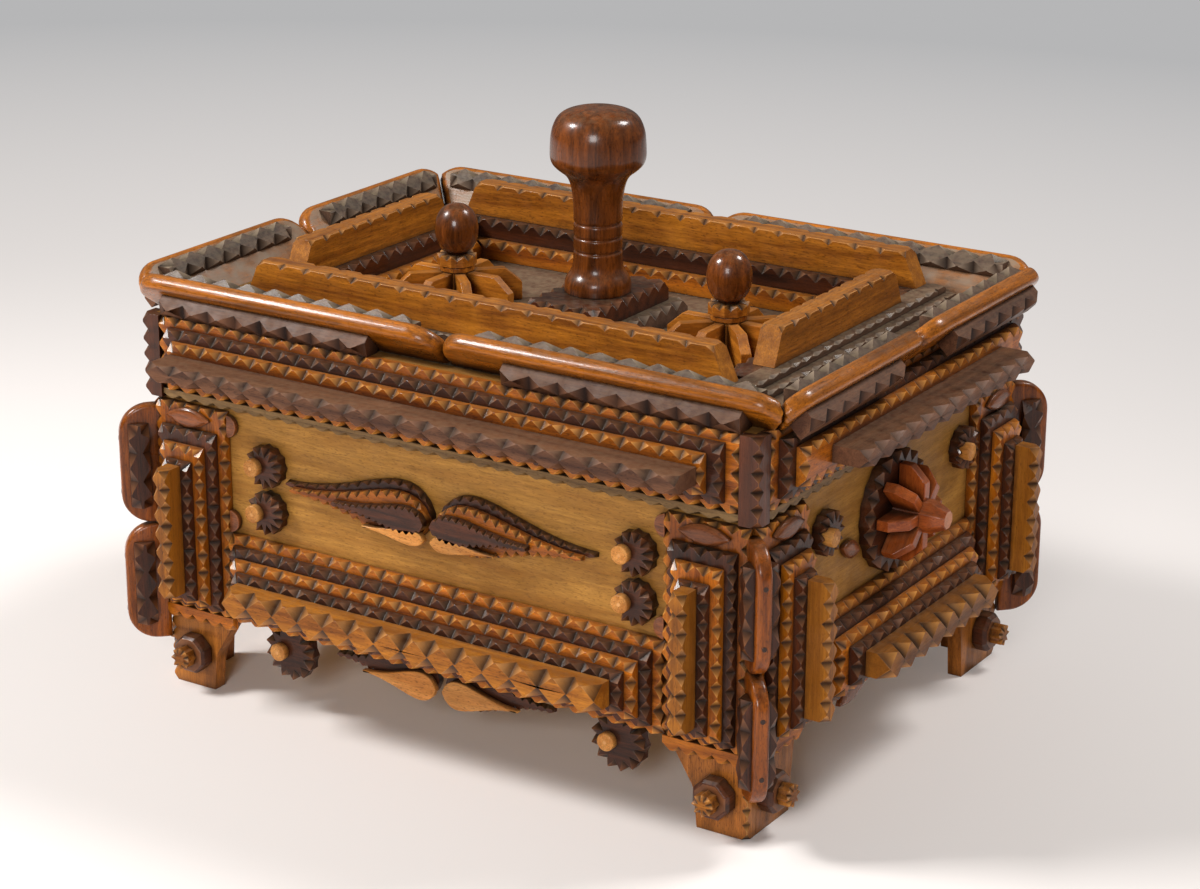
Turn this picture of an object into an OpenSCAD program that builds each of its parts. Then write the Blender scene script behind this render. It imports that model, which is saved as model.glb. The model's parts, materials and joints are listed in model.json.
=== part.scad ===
// Ditty box in chip-carved, layered cigar-box wood with a lift-off lid.
// Millimetres. +X runs along the front, -Y is the front, +Z is up.
// The origin is the centre of the footprint, on the surface the box stands on.

/* [Case] */
// Length of the case over its boards
case_w = 264; // [244:1:290]
// Depth of the case over its boards
case_d = 202; // [188:1:224]
// Height of the parting line between case and lid
part_z = 120; // [117:1:128]
// Height of the lower edge of the case boards
foot_h = 34; // [30:1:36]
// Thickness of the case boards
board_t = 6; // [5:0.5:8]
// Thickness of the floor board
floor_t = 5; // [4:0.5:8]
// Height of the floor's underside above the case boards' lower edge
floor_up = 4; // [1:0.5:10]
// Width of a front foot where it meets the floor
foot_w_front = 21; // [17:1:28]
// Width of a side foot where it meets the floor
foot_w_side = 24; // [18:1:27]

/* [Locating lip] */
// Thickness of the lining strips that locate the lid
lip_t = 4; // [3:0.5:6]
// Height of the lining strips
lip_h = 27; // [20:1:40]
// Height that the lip stands above the case boards
lip_up = 7; // [4:0.5:12]
// Gap between the lip and the lid's boards
lip_gap = 0.5; // [0.4:0.1:1]

/* [Chip carving] */
// Thickness of one carved strip in the stepped mouldings
strip_t = 4; // [3:0.25:4.5]
// Spacing of the small notches
notch_pitch = 8; // [6.5:0.5:10]
// Depth of a small notch, square to the edge it crosses
notch_depth = 2.2; // [1.4:0.1:2.6]
// Spacing of the notches on the bold bars
bar_pitch = 11.6; // [9:0.2:14]
// Depth of a notch on the bold bars
bar_depth = 3; // [2:0.1:3.2]
// Length of edge left whole between two notches
notch_land = 0.6; // [0.3:0.1:1.2]

/* [Base moulding] */
// Height of the widest strip
base_h = 36; // [33:1:40]
// Loss of height from one strip to the next, at each edge
base_step = 3.5; // [2.5:0.1:3.8]
// Loss of length from one strip to the next, at each front end
base_end_front = 3.5; // [2:0.5:6]
// Loss of length from one strip to the next, at each side end
base_end_side = 5.5; // [3:0.5:8]
// Height of the bold bar on the moulding
base_bar_h = 10; // [8:0.5:13]
// Depth of the bold bar
base_bar_d = 10; // [7:0.5:12]

/* [Pilasters] */
// Width of the widest pilaster strip
pil_w = 34; // [31:0.5:38]
// Thickness of a pilaster strip
pil_t = 3.5; // [3:0.25:4.5]
// Gap from the case boards' lower edge to the first strip
pil_gap_low = 0.5; // [0:0.5:3]
// Gap from the first strip to the parting line
pil_gap_top = 1; // [0.5:0.5:6]
// Loss of width from one strip to the next, at each edge
pil_step = 3.6; // [2.8:0.1:4]
// Drop of the upper end from one strip to the next
pil_drop = 5.4; // [3:0.1:7]
// Extra drop under the polished chip
pil_chip_drop = 3.6; // [2.5:0.1:6]
// Rise of the lower end from one strip to the next
pil_rise = 2.6; // [1:0.1:4]
// Width of the pilaster's bar
pil_bar_w = 6; // [4.5:0.5:8]
// Depth of the pilaster's bar
pil_bar_d = 9; // [7:0.5:12]
// Spacing of the notches along a pilaster
pil_pitch = 7; // [6:0.5:9]

/* [Corner ears] */
// Reach of an ear from the corner, along the diagonal
ear_out = 17; // [14:0.5:22]
// Thickness of an ear board
ear_t = 5.5; // [4:0.5:7]
// Height of one ear
ear_h = 48.5; // [42:0.5:50]
// Drop of the lower ear below the case boards
ear_drop = 15; // [14:1:20]
// Gap between the two ears of a corner
ear_gap = 0.5; // [0.3:0.1:2]
// Radius of the ear's outer corners
ear_r = 12; // [6:1:13]
// Length of the carved strip on an ear
ear_strip_l = 34; // [26:1:38]
// Width of the carved strip on an ear
ear_strip_w = 8; // [6:0.5:9]
// Thickness of the carved strip on an ear
ear_strip_t = 3.5; // [2.5:0.5:5]

/* [Feet trim] */
// Height of the foot block's middle
boss_z = 15; // [11:1:19]
// Width of the foot block across its flats
boss_w = 15; // [11:0.5:17]
// Thickness of the foot block
boss_t = 6; // [4:0.5:9]
// Diameter of the carved button on a foot block
button_d = 9; // [6:0.5:11]
// Thickness of the carved button
button_t = 5; // [3:0.5:8]

/* [Field ornament] */
// Thickness of one layer of the field ornaments
orn_t = 3; // [2:0.25:4]
// Length of one wing of the scroll
wing_l = 68; // [54:1:72]
// Greatest half height of a wing
wing_h = 10.5; // [8:0.5:12]
// Height of the scroll's middle line above the middle of the field
wing_up = 0.5; // [-2:0.5:3]
// Length of one wing of the apron scroll
apron_l = 48; // [36:1:52]
// Greatest half height of an apron wing
apron_h = 8; // [6:0.5:9]
// Drop of the apron scroll's middle line below the case boards
apron_drop = 4; // [3:0.5:6]
// Length of a smooth leaf on the scroll
leaf_len = 28; // [20:1:34]
// Half height of a smooth leaf
leaf_half = 2.6; // [1.5:0.1:3]
// Length of a smooth lobe on the apron
lobe_len = 34; // [24:1:40]
// Half height of a smooth lobe
lobe_half = 5.4; // [4:0.1:6]
// Distance of the peg pairs from the pilasters
peg_in = 15.5; // [15:0.5:22]
// Drop of the upper pegs below the parting line
peg_drop = 19; // [17:0.5:21]
// Height between the two pegs of a pair
peg_gap = 18.6; // [18:0.2:21]
// Diameter of a peg
peg_d = 7; // [5:0.5:8]
// Length of a peg
peg_l = 8; // [6:0.5:12]
// Radius of the notched disc beside a peg
disc_r = 8.6; // [7.5:0.1:9]
// Distance from a disc's middle to its peg
disc_off = 3.5; // [2:0.5:4]
// Thickness of a notched disc
disc_t = 5; // [3:0.5:7]
// Clearance round a peg in its disc
peg_fit = 0.15; // [0.1:0.05:0.3]
// Distance of the apron pegs from the pilasters
apron_peg_in = 23; // [18:1:32]
// Drop of the apron discs below the case boards
apron_peg_drop = 8; // [6:0.5:10]
// Radius of the apron discs
apron_disc_r = 11.5; // [10:0.5:13]
// Distance the apron ornaments are set back under the case board
apron_set = 3; // [2:0.5:4]
// Radius of the half-round chips by the pilasters
chip_r = 4.5; // [3:0.5:4.5]

/* [Side rosette] */
// Radius of the notched ring
ring_r = 23.5; // [18:0.5:24]
// Reach of the petals
petal_r = 19; // [14:0.5:22]
// Depth of a petal board
petal_d = 11; // [7:0.5:14]
// Length of the cut corner of a petal board
petal_cut = 6; // [3:0.5:8]
// Thickness of a petal board
petal_t = 4.2; // [3:0.1:4.6]
// Width of the hub across its flats
hub_w = 12; // [9:0.5:15]
// Reach of the hub from the case board
hub_l = 25; // [17:0.5:26]
// Length of the bevelled end of the hub
hub_bevel = 7; // [4:0.5:10]
// Gap between the notched ring and the hub
ring_gap = 1; // [0.5:0.1:3]
// Length of the leaves beside the rosette
leaf_l = 14; // [10:0.5:15]
// Width of those leaves
leaf_w = 7; // [5:0.5:9]
// Gap between the ring and the middle of a leaf
leaf_off = 8; // [7:0.5:10]
// Height of the leaves above the rosette's middle
leaf_up = -6; // [-10:0.5:2]
// Length of the drops under the side boards
drop_l = 30; // [22:1:34]
// Width of those drops
drop_w = 12; // [8:0.5:14]
// Distance of a drop from the middle of its side
drop_x = 18; // [16:0.5:26]
// Depth of the drops' middle below the case boards
drop_low = 2; // [0:0.5:5]

/* [Lid] */
// Height of the lid's boards, from the parting line to the ledge
lid_h = 33; // [29:0.5:37]
// Thickness of the ledge boards
ledge_t = 7; // [5:0.5:9]
// Depth of the sunk deck below the ledge
deck_drop = 10; // [7:0.5:13]
// Thickness of the sunk deck
deck_t = 4; // [3:0.5:6]
// Height of the toothed band along the lid's lower edge
band_h = 5; // [4:0.5:7]
// Thickness of the toothed band
band_t = 3; // [2:0.25:3.8]

/* [Cornice] */
// Loss of height from one cornice strip to the next, at each edge
cor_step = 3.6; // [2.5:0.1:4]
// Gap in length between the first strip and the corner, front
cor_inset = 4; // [3:0.5:7]
// Loss of length from one strip to the next, at each end
cor_end = 5.2; // [2:0.2:7]
// Height of the cornice's bold bar
cor_bar_h = 6.5; // [5:0.5:8]
// Depth of the cornice's bold bar
cor_bar_d = 14; // [10:0.5:16]
// Distance from the front bar's end to the corner
cor_bar_in_front = 16; // [14:1:26]
// Distance from the side bar's end to the corner
cor_bar_in_side = 33; // [20:1:40]

/* [Rim] */
// Reach of the rim's upper edge beyond the lid's side boards
rim_over_side = 16.5; // [12:0.5:20]
// Reach of the rim's upper edge beyond the lid's long boards
rim_over_front = 4.5; // [2:0.5:8]
// Height of the rim's outer upper edge above the ledge
rim_up = 12; // [10:0.5:14]
// Thickness of a rim board
rim_t = 5; // [4:0.5:6]
// Radius of the rim boards' rounded ends
rim_r = 12; // [6:0.5:13]
// Gap between two rim boards
rim_gap = 0.6; // [0.3:0.1:2]
// Width of the strip along the rim's inner face
rim_in_w = 8; // [5:0.5:9]
// Thickness of the strip along the rim's inner face
rim_in_t = 4; // [3:0.5:4.5]
// Width of the toothed strip along the rim's outer face
rim_out_w = 10; // [8:0.5:11]
// Thickness of the toothed strip along the rim's outer face
rim_out_t = 3; // [2:0.25:3.5]
// Share of a rim board's length that the toothed strip covers
rim_out_part = 0.66; // [0.5:0.02:0.72]
// Depth of the teeth on that strip
rim_tooth = 5; // [3:0.5:6]

/* [Tray frame] */
// Distance from the lid's side boards to the frame
tray_in_side = 22; // [19:0.5:26]
// Distance from the lid's long boards to the frame
tray_in_front = 23.6; // [22.4:0.2:27]
// Thickness of the frame's boards
crest_t = 9; // [7:0.5:10]
// Height of the frame's boards
crest_h = 13.8; // [10:0.2:18]
// Slope of a frame board's ends, measured along its length
crest_slope = 6; // [3:0.5:9]
// Gap between a side board of the frame and a long one
crest_gap = 19; // [12:0.5:26]
// Height of one strip outside the frame
step_out_h = 2.75; // [2:0.25:4]
// Width of the tread of a strip inside the frame
step_in_w = 5; // [3.5:0.5:7]
// Width of the tread of a strip outside the frame
step_out_w = 4; // [3:0.5:4.4]

/* [Knob and plinth] */
// Distance of the knob from the middle of the lid
knob_x = 4; // [0:0.5:6]
// Length of the lower plinth block, front to back
plinth_l = 64; // [56:1:72]
// Width of the lower plinth block
plinth_w = 43; // [38:1:46]
// Height of each plinth block
plinth_h = 7.75; // [6:0.25:9]
// Step from the lower block to the upper one
plinth_step = 5.5; // [3:0.5:7]
// Height of the knob above its plinth
knob_h = 72; // [56:1:84]
// Radius of the knob's cap
knob_r = 18.4; // [14:0.2:20]
// Radius of the knob's stem
stem_r = 9; // [6.5:0.5:10]
// Radius of the knob's base flange
flange_r = 13; // [11:0.5:15.5]

/* [Finials] */
// Gap between a finial's boards and the frame's lowest strip
fin_gap = 2.5; // [0.5:0.5:8]
// Radius of a finial's ball
ball_r = 8.7; // [7:0.1:10]
// Height of a finial's ball
ball_h = 22; // [18:0.5:26]
// Reach of the radial boards
fin_r = 26; // [20:0.5:26.5]
// Height of the radial boards
fin_h = 13.5; // [10:0.5:16]
// Thickness of the radial boards
fin_t = 4.2; // [3:0.1:4.6]
// Width of the finial's post across its flats
post_w = 12; // [11.6:0.1:14]
// Height of the notched collar under the ball
collar_h = 7; // [4:0.5:9]

/* [Hidden] */
hx = case_w / 2;
hy = case_d / 2;
// Plane of the outermost face of a stack of n base strips
function stack(n) = n * strip_t;
// Height and middle of the cornice between the toothed band and the ledge
cor_z0 = part_z + band_h - 1;
ledge_z = part_z + lid_h;
cor_h = ledge_z - cor_z0;
cor_z = (ledge_z + cor_z0) / 2;
floor_z = foot_h + floor_up;
// The lid's walls stand back from the case's by the gap
lid_t = board_t - lip_gap;
base_z = foot_h + base_h / 2;
pil_z0 = foot_h + pil_gap_low;
pil_z1 = part_z - pil_gap_top;
ear_z = foot_h - ear_drop;
// Middle height of the bare field between the base moulding and the lid
field_z = (foot_h + base_h + part_z) / 2;
wing_z = field_z + wing_up;
ros_z = field_z;
apron_z = foot_h - apron_drop;
apron_peg_z = foot_h - apron_peg_drop;
peg_z = part_z - peg_drop;
deck_z = ledge_z - deck_drop;
rim_x = hx + rim_over_side;
rim_y = hy + rim_over_front;
rim_z = ledge_z + rim_up;
tray_x = hx - tray_in_side;
tray_y = hy - tray_in_front;
fin_x = tray_x - crest_t - 2 * step_in_w - fin_gap - fin_r;
base_front = hx - pil_w;
base_side = hy - pil_w;
peg_x = base_front - peg_in;
apron_peg_x = base_front - apron_peg_in;
// Reach of a cutting wedge past what it cuts
far = 40;
step_in_h = (ledge_z + 2 * step_out_h - deck_z) / 2;
crest_z = ledge_z + 2 * step_out_h;
plinth_top = deck_z + 2 * plinth_h;
fin_top = deck_z + fin_h;
r45 = sqrt(0.5);

// Outline of a carved edge: peaks at s = top, valleys a depth below, down to s = -back
function zigzag(len, pitch, depth, back) =
    let (n = max(1, round(len / pitch)), p = len / n, land = notch_land / 2)
    concat(
        [[-len / 2 - 1, -back], [-len / 2 - 1, -depth], [-len / 2, -depth]],
        [for (i = [0:n - 1]) for (k = [0:2])
            k == 0 ? [-len / 2 + (i + 0.5) * p - land, 0.2]
            : k == 1 ? [-len / 2 + (i + 0.5) * p + land, 0.2]
            : [-len / 2 + (i + 1) * p, -depth]],
        [[len / 2 + 1, -depth], [len / 2 + 1, -back]]
    );

// Halfspace below a carved arris that runs along X and faces the angle a
module carve(len, a, pitch, depth, back) {
    rotate([a, 0, 0])
        translate([0, 0, -back])
            linear_extrude(2 * back)
                polygon(zigzag(len, pitch, depth, back));
}

// Strip along X against the plane y = 0, outer face at y = -t, middle at z = 0
module strip(len, h, t, pitch, depth, top = true, bottom = true) {
    back = h + t + 4;
    intersection() {
        translate([-len / 2, -t, -h / 2]) cube([len, t, h]);
        if (top) translate([0, -t, h / 2]) carve(len, 135, pitch, depth, back);
        if (bottom) translate([0, -t, -h / 2]) carve(len, 225, pitch, depth, back);
    }
}

// Strip with its carved arrises upright
module post_strip(len, w, t, pitch, depth) {
    rotate([0, 90, 0]) strip(len, w, t, pitch, depth);
}

// The child, against the front and back at the given distance from the middle
module front_back(off) {
    for (a = [0, 180]) rotate([0, 0, a]) translate([0, -off, 0]) children();
}

// The child, against the right and left sides
module sides(off) {
    for (a = [90, 270]) rotate([0, 0, a]) translate([0, -off, 0]) children();
}

// The child at both pilasters of each face
module at_pilasters() {
    front_back(hy) for (s = [-1, 1]) translate([s * (hx - pil_w / 2), 0, 0]) children();
    sides(hx) for (s = [-1, 1]) translate([s * (hy - pil_w / 2), 0, 0]) children();
}

// The child at the four corners, +X along the outward diagonal
module at_corners() {
    for (sx = [0, 1]) for (sy = [0, 1])
        mirror([sx, 0, 0]) mirror([0, sy, 0])
            translate([hx, -hy, 0]) rotate([0, 0, -45]) children();
}

// Case

module long_panel(side) {
    translate([-hx, side > 0 ? hy - board_t : -hy, foot_h])
        cube([case_w, board_t, part_z - foot_h]);
}

module side_panel(side) {
    translate([side > 0 ? hx - board_t : -hx, -hy + board_t, foot_h])
        cube([board_t, case_d - 2 * board_t, part_z - foot_h]);
}

module front_panel() { color("#8a6a35") long_panel(-1); }

module back_panel() { color("#8a6a35") long_panel(1); }

module left_panel() { color("#8a6a35") side_panel(-1); }

module right_panel() { color("#8a6a35") side_panel(1); }

module floor_board() {
    color("#7d5a2c")
        translate([-hx + board_t, -hy + board_t, floor_z])
            cube([case_w - 2 * board_t, case_d - 2 * board_t, floor_t]);
}

// Tapered foot board, straight on the corner side
module foot_board(top_w, low_w, from) {
    translate([0, board_t, 0]) rotate([90, 0, 0])
        linear_extrude(board_t)
            polygon([[from, 0], [from - low_w, 0], [from - low_w - 1.5, foot_h * 0.45],
                [from - top_w, foot_h], [from, foot_h]]);
}

module feet() {
    color("#9c6a2c") {
        front_back(hy) for (m = [0, 1]) mirror([m, 0, 0])
            foot_board(pil_w, foot_w_front, hx);
        sides(hx) for (m = [0, 1]) mirror([m, 0, 0])
            foot_board(pil_w - board_t, foot_w_side, hy - board_t);
    }
}

module lid_lip() {
    z0 = part_z + lip_up - lip_h;
    color("#a9824a") {
        front_back(hy - board_t)
            translate([-hx + board_t, 0, z0]) cube([case_w - 2 * board_t, lip_t, lip_h]);
        sides(hx - board_t)
            translate([-hy + board_t + lip_t, 0, z0])
                cube([case_d - 2 * board_t - 2 * lip_t, lip_t, lip_h]);
    }
}

// Base moulding, strip n counted from the case board
module base_layer(n) {
    h = base_h - 2 * (n - 1) * base_step;
    front_back(hy + stack(n - 1)) translate([0, 0, base_z])
        strip(2 * (base_front - (n - 1) * base_end_front), h, strip_t, notch_pitch, notch_depth);
    sides(hx + stack(n - 1)) translate([0, 0, base_z])
        strip(2 * (base_side - (n - 1) * base_end_side), h, strip_t, notch_pitch, notch_depth);
}

module base_layer_1() { color("#b07a35") base_layer(1); }

module base_layer_2() { color("#4a2c22") base_layer(2); }

module base_layer_3() { color("#b07a35") base_layer(3); }

module base_layer_4() { color("#4a2c22") base_layer(4); }

module base_bars() {
    color("#9a7340") {
        front_back(hy + stack(4)) translate([0, 0, base_z])
            strip(2 * (base_front - 4 * base_end_front), base_bar_h, base_bar_d, bar_pitch, bar_depth);
        sides(hx + stack(4)) translate([0, 0, base_z])
            strip(2 * (base_side - 4 * base_end_side), base_bar_h, base_bar_d, bar_pitch, bar_depth);
    }
}

// Pilasters, strip n counted from the case board
function pil_lo(n) = pil_z0 + (n - 1) * pil_rise;
function pil_hi(n) = pil_z1 - (n > 1 ? pil_chip_drop : 0) - (n - 1) * pil_drop;

module pilaster_layer(n) {
    lo = pil_lo(n);
    hi = pil_hi(n);
    at_pilasters() translate([0, -(n - 1) * pil_t, (lo + hi) / 2])
        post_strip(hi - lo, pil_w - 2 * (n - 1) * pil_step, pil_t, pil_pitch, notch_depth * 0.9);
}

module pilaster_layer_1() { color("#a86a2c") pilaster_layer(1); }

module pilaster_layer_2() { color("#452a20") pilaster_layer(2); }

module pilaster_layer_3() { color("#b87430") pilaster_layer(3); }

module pilaster_layer_4() { color("#452a20") pilaster_layer(4); }

module pilaster_bars() {
    lo = pil_lo(5) + 1;
    hi = pil_hi(4) - 1;
    color("#a8702f")
        at_pilasters() translate([0, -4 * pil_t, (lo + hi) / 2])
            post_strip(hi - lo, pil_bar_w, pil_bar_d, bar_pitch, pil_bar_w * 0.3);
}

// Pointed oval with its points on X
module lens(len, h) {
    r = (len * len / 4 + h * h / 4) / h;
    intersection() {
        translate([0, -(r - h / 2)]) circle(r, $fn = 96);
        translate([0, r - h / 2]) circle(r, $fn = 96);
    }
}

module pilaster_chips() {
    z = (pil_z1 + pil_hi(2)) / 2;
    color("#b98a5a")
        at_pilasters() translate([0, -pil_t, z]) rotate([90, 0, 0])
            linear_extrude(2.5) lens(pil_w * 0.62, pil_z1 - pil_hi(2) - 1.4);
}

module ear_outline() {
    r = ear_r;
    square([ear_out - r, ear_h]);
    translate([ear_out - r, r]) square([r, ear_h - 2 * r]);
    for (z = [r, ear_h - r]) translate([ear_out - r, z]) circle(r, $fn = 64);
}

module ears() {
    color("#a8692c")
        at_corners() for (k = [0, 1]) translate([0, 0, ear_z + k * (ear_h + ear_gap)])
            intersection() {
                rotate([90, 0, 0]) linear_extrude(ear_t, center = true) ear_outline();
                linear_extrude(ear_h) polygon([[0, 0], [2 * ear_out, -2 * ear_out],
                    [2 * ear_out, 2 * ear_out]]);
            }
}

module ear_strips() {
    color("#4a2f2c")
        at_corners() for (k = [0, 1]) for (m = [0, 1]) mirror([0, m, 0])
            translate([ear_out - 3.5 - ear_strip_w / 2, -ear_t / 2,
                ear_z + ear_h / 2 + k * (ear_h + ear_gap)])
                rotate([0, -90, 0])
                    strip(ear_strip_l, ear_strip_w, ear_strip_t, bar_pitch, 2.2, true, false);
}

// The child at each foot, on the foot board's outer face
module at_feet() {
    x = hx - foot_w_front / 2 - 2;
    y = hy - foot_w_side / 2 - 2;
    front_back(hy) for (s = [-1, 1]) translate([s * x, 0, boss_z]) children();
    sides(hx) for (s = [-1, 1]) translate([s * y, 0, boss_z]) children();
}

module foot_bosses() {
    color("#3d2a22")
        at_feet() rotate([90, 22.5, 0])
            rotate([0, 0, 22.5]) cylinder(boss_t, d = boss_w / cos(22.5), $fn = 8);
}

// Disc with a notched rim
function star(r, depth, teeth) =
    [for (i = [0:2 * teeth - 1]) let (a = i * 180 / teeth, q = i % 2 == 0 ? r : r - depth)
        [q * cos(a), q * sin(a)]];

module foot_buttons() {
    color("#7a5230")
        at_feet() translate([0, -boss_t, 0]) rotate([90, 0, 0])
            linear_extrude(button_t) polygon(star(button_d / 2, 1, 8));
}

// Field ornaments

// Half height of a wing at the fraction u of its length
function wing_half(u, h) = h * pow(sin(180 * pow(u, 0.45)), 1.8);

// Outline of a wing from its blunt end at x = 1.5 to its tip, teeth on both edges
function wing(len, h, teeth, bite) =
    let (n = 2 * teeth)
    concat(
        [for (i = [0:n]) let (u = i / n)
            [1.5 + u * len, wing_half(u, h) + 0.9 - (i % 2 == 1 ? bite : 0)]],
        [for (i = [n:-1:0]) let (u = i / n)
            [1.5 + u * len, -wing_half(u, h) - 0.9 + (i % 2 == 1 ? bite : 0)]]
    );

// Pair of wings on the front and back, their back at the given distance from the middle
module wings(len, h, z, off, bite) {
    front_back(off) translate([0, 0, z]) rotate([90, 0, 0])
        for (m = [0, 1]) mirror([m, 0, 0])
            linear_extrude(orn_t) polygon(wing(len, h, 14, bite));
}

// What of the child hangs below the case boards' lower edge
module hung() {
    intersection() {
        children();
        translate([-case_w, -case_w, 0]) cube([2 * case_w, 2 * case_w, foot_h]);
    }
}

module scroll_outer() { color("#4a2b20") wings(wing_l, wing_h, wing_z, hy, 0.8); }

module scroll_middle() { color("#a86c30") wings(wing_l * 0.86, wing_h * 0.86, wing_z, hy + orn_t, 0.7); }

module scroll_inner() {
    color("#4a2b20") wings(wing_l * 0.62, wing_h * 0.42, wing_z + wing_h * 0.36, hy + 2 * orn_t, 0.6);
}

module scroll_leaves() {
    color("#c98d4e")
        wings(leaf_len, leaf_half, wing_z - wing_h * 0.49, hy + 2 * orn_t, 0);
}

// The child at every pair of pegs: front, back and the upper corners of the sides
module at_pegs() {
    front_back(hy) for (s = [-1, 1]) for (k = [0, 1])
        translate([s * peg_x, 0, peg_z - k * peg_gap]) children();
    sides(hx) for (s = [-1, 1])
        translate([s * (base_side - disc_r - disc_off), 0, peg_z + 1]) children();
}

module crescents() {
    color("#3f2a22")
        at_pegs() rotate([90, 0, 0]) linear_extrude(disc_t) difference() {
            translate([disc_off, 0]) polygon(star(disc_r, 1.5, 12));
            circle(peg_d / 2 + peg_fit, $fn = 48);
        }
}

module pegs() {
    color("#c98a4a") at_pegs() rotate([90, 0, 0]) cylinder(peg_l, d = peg_d, $fn = 48);
}

module half_chips() {
    color("#6b3f24")
        front_back(hy) for (m = [0, 1]) mirror([m, 0, 0])
            for (z = [pil_z1 - chip_r - 1, base_z + base_h / 2 + chip_r + 0.5])
                translate([base_front, 0, z]) rotate([90, 0, 0])
                    linear_extrude(orn_t) intersection() {
                        circle(chip_r, $fn = 48);
                        translate([-2 * chip_r, -chip_r]) square(2 * chip_r);
                    }
}

// The child at the apron discs of the front and back
module at_apron() {
    front_back(hy - apron_set) for (s = [-1, 1])
        translate([s * apron_peg_x, 0, apron_peg_z]) children();
}

module apron_discs() {
    color("#3f2a22")
        hung() at_apron() rotate([90, 0, 0]) linear_extrude(disc_t) difference() {
            translate([disc_off, 0]) polygon(star(apron_disc_r, 1.8, 13));
            circle(peg_d / 2 + peg_fit, $fn = 48);
        }
}

module apron_pegs() {
    color("#c98a4a") at_apron() rotate([90, 0, 0]) cylinder(peg_l, d = peg_d, $fn = 48);
}

module apron_scrolls() {
    color("#4a2b20") hung() wings(apron_l, apron_h, apron_z, hy - apron_set, 0.8);
}

module apron_lobes() {
    color("#c0823c")
        hung() wings(lobe_len, lobe_half, apron_z - apron_h * 0.35, hy - apron_set + orn_t, 0);
}

// Side rosette

module at_rosettes(k) {
    sides(hx + k) translate([0, 0, ros_z]) rotate([90, 0, 0]) children();
}

module rosette_rings() {
    color("#3f2a22")
        at_rosettes(0) linear_extrude(disc_t) difference() {
            polygon(star(ring_r, 2, 20));
            circle(hub_w / 2 / cos(22.5) + ring_gap, $fn = 48);
        }
}

module rosette_petals() {
    color("#b9683a")
        at_rosettes(disc_t) for (i = [0:7]) rotate([90, 0, i * 45])
            linear_extrude(petal_t, center = true) polygon([
                [hub_w / 2, 0], [petal_r, 0], [petal_r, petal_d * 0.45],
                [petal_r - petal_cut, petal_d], [hub_w / 2, petal_d]]);
}

// Eight-sided hub, cut to a blunt end by two crossed wedges
module rosette_hubs() {
    color("#9a4f2c")
        at_rosettes(0) intersection() {
            rotate([0, 0, 22.5]) cylinder(hub_l, d = hub_w / cos(22.5), $fn = 8);
            for_wedge(0);
            for_wedge(90);
        }
}

module for_wedge(a) {
    c = hub_w * 0.28;
    rotate([90, 0, a]) linear_extrude(2 * hub_w, center = true)
        polygon([[-hub_w, 0], [hub_w, 0], [hub_w, hub_l - hub_bevel],
            [hub_w / 2, hub_l - hub_bevel], [c, hub_l], [-c, hub_l],
            [-hub_w / 2, hub_l - hub_bevel], [-hub_w, hub_l - hub_bevel]]);
}

module side_leaves() {
    color("#c9906a") {
        sides(hx) for (s = [-1, 1])
            translate([s * (ring_r + leaf_off), 0, ros_z + leaf_up]) rotate([90, 0, 0])
                linear_extrude(orn_t) rotate([0, 0, s * 20]) lens(leaf_l, leaf_w);
        hung() sides(hx - apron_set) for (s = [-1, 1])
            translate([s * drop_x, 0, foot_h - drop_low]) rotate([90, 0, 0])
                linear_extrude(orn_t) rotate([0, 0, -s * 25]) lens(drop_l, drop_w);
    }
}

// Lid

module lid_long_walls() {
    color("#7a5a30")
        front_back(hy) translate([-hx, 0, part_z + 0.3])
            cube([case_w, lid_t, ledge_z - part_z - 0.3]);
}

module lid_side_walls() {
    color("#7a5a30")
        sides(hx) translate([-hy + lid_t, 0, part_z + 0.3])
            cube([case_d - 2 * lid_t, lid_t, ledge_z - part_z - 0.3]);
}

// Four boards round the opening of the tray
module lid_ledge() {
    in_y = tray_y - crest_t / 2;
    in_x = tray_x - crest_t / 2;
    color("#8d8168") {
        front_back(hy - lid_t) translate([-hx + lid_t, 0, ledge_z - ledge_t])
            cube([case_w - 2 * lid_t, hy - lid_t - in_y, ledge_t]);
        sides(hx - lid_t) translate([-in_y, 0, ledge_z - ledge_t])
            cube([2 * in_y, hx - lid_t - in_x, ledge_t]);
    }
}

module lid_deck() {
    color("#8f8258")
        translate([-hx + lid_t, -hy + lid_t, deck_z - deck_t])
            cube([case_w - 2 * lid_t, case_d - 2 * lid_t, deck_t]);
}

// Saw-toothed band: teeth point down
module tooth_band(len, h, t, pitch, depth) {
    n = round(len / pitch);
    p = len / n;
    rotate([90, 0, 0]) linear_extrude(t)
        polygon(concat(
            [[len / 2, h], [-len / 2, h]],
            [for (i = [0:n - 1]) for (k = [0, 1])
                [-len / 2 + (i + k / 2) * p, k == 0 ? depth : 0]],
            [[len / 2, depth]]
        ));
}

module lid_band() {
    z = part_z + 0.3;
    color("#7a6238") {
        front_back(hy) translate([0, 0, z])
            tooth_band(case_w - 2 * cor_inset, cor_z0 - z, band_t, notch_pitch, (cor_z0 - z) * 0.75);
        sides(hx) translate([0, 0, z])
            tooth_band(case_d - 2 * cor_inset, cor_z0 - z, band_t, notch_pitch, (cor_z0 - z) * 0.75);
    }
}

// Cornice, strip n counted from the lid's board
module cornice_layer(n) {
    h = cor_h - 2 * (n - 1) * cor_step;
    cut = 2 * (cor_inset + (n - 1) * cor_end);
    front_back(hy + stack(n - 1)) translate([0, 0, cor_z])
        strip(case_w - cut, h, strip_t, notch_pitch, notch_depth);
    sides(hx + stack(n - 1)) translate([0, 0, cor_z])
        strip(case_d - cut, h, strip_t, notch_pitch, notch_depth);
}

module cornice_layer_1() { color("#a8723a") cornice_layer(1); }

module cornice_layer_2() { color("#4a2f26") cornice_layer(2); }

module cornice_layer_3() { color("#b07a3c") cornice_layer(3); }

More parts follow.
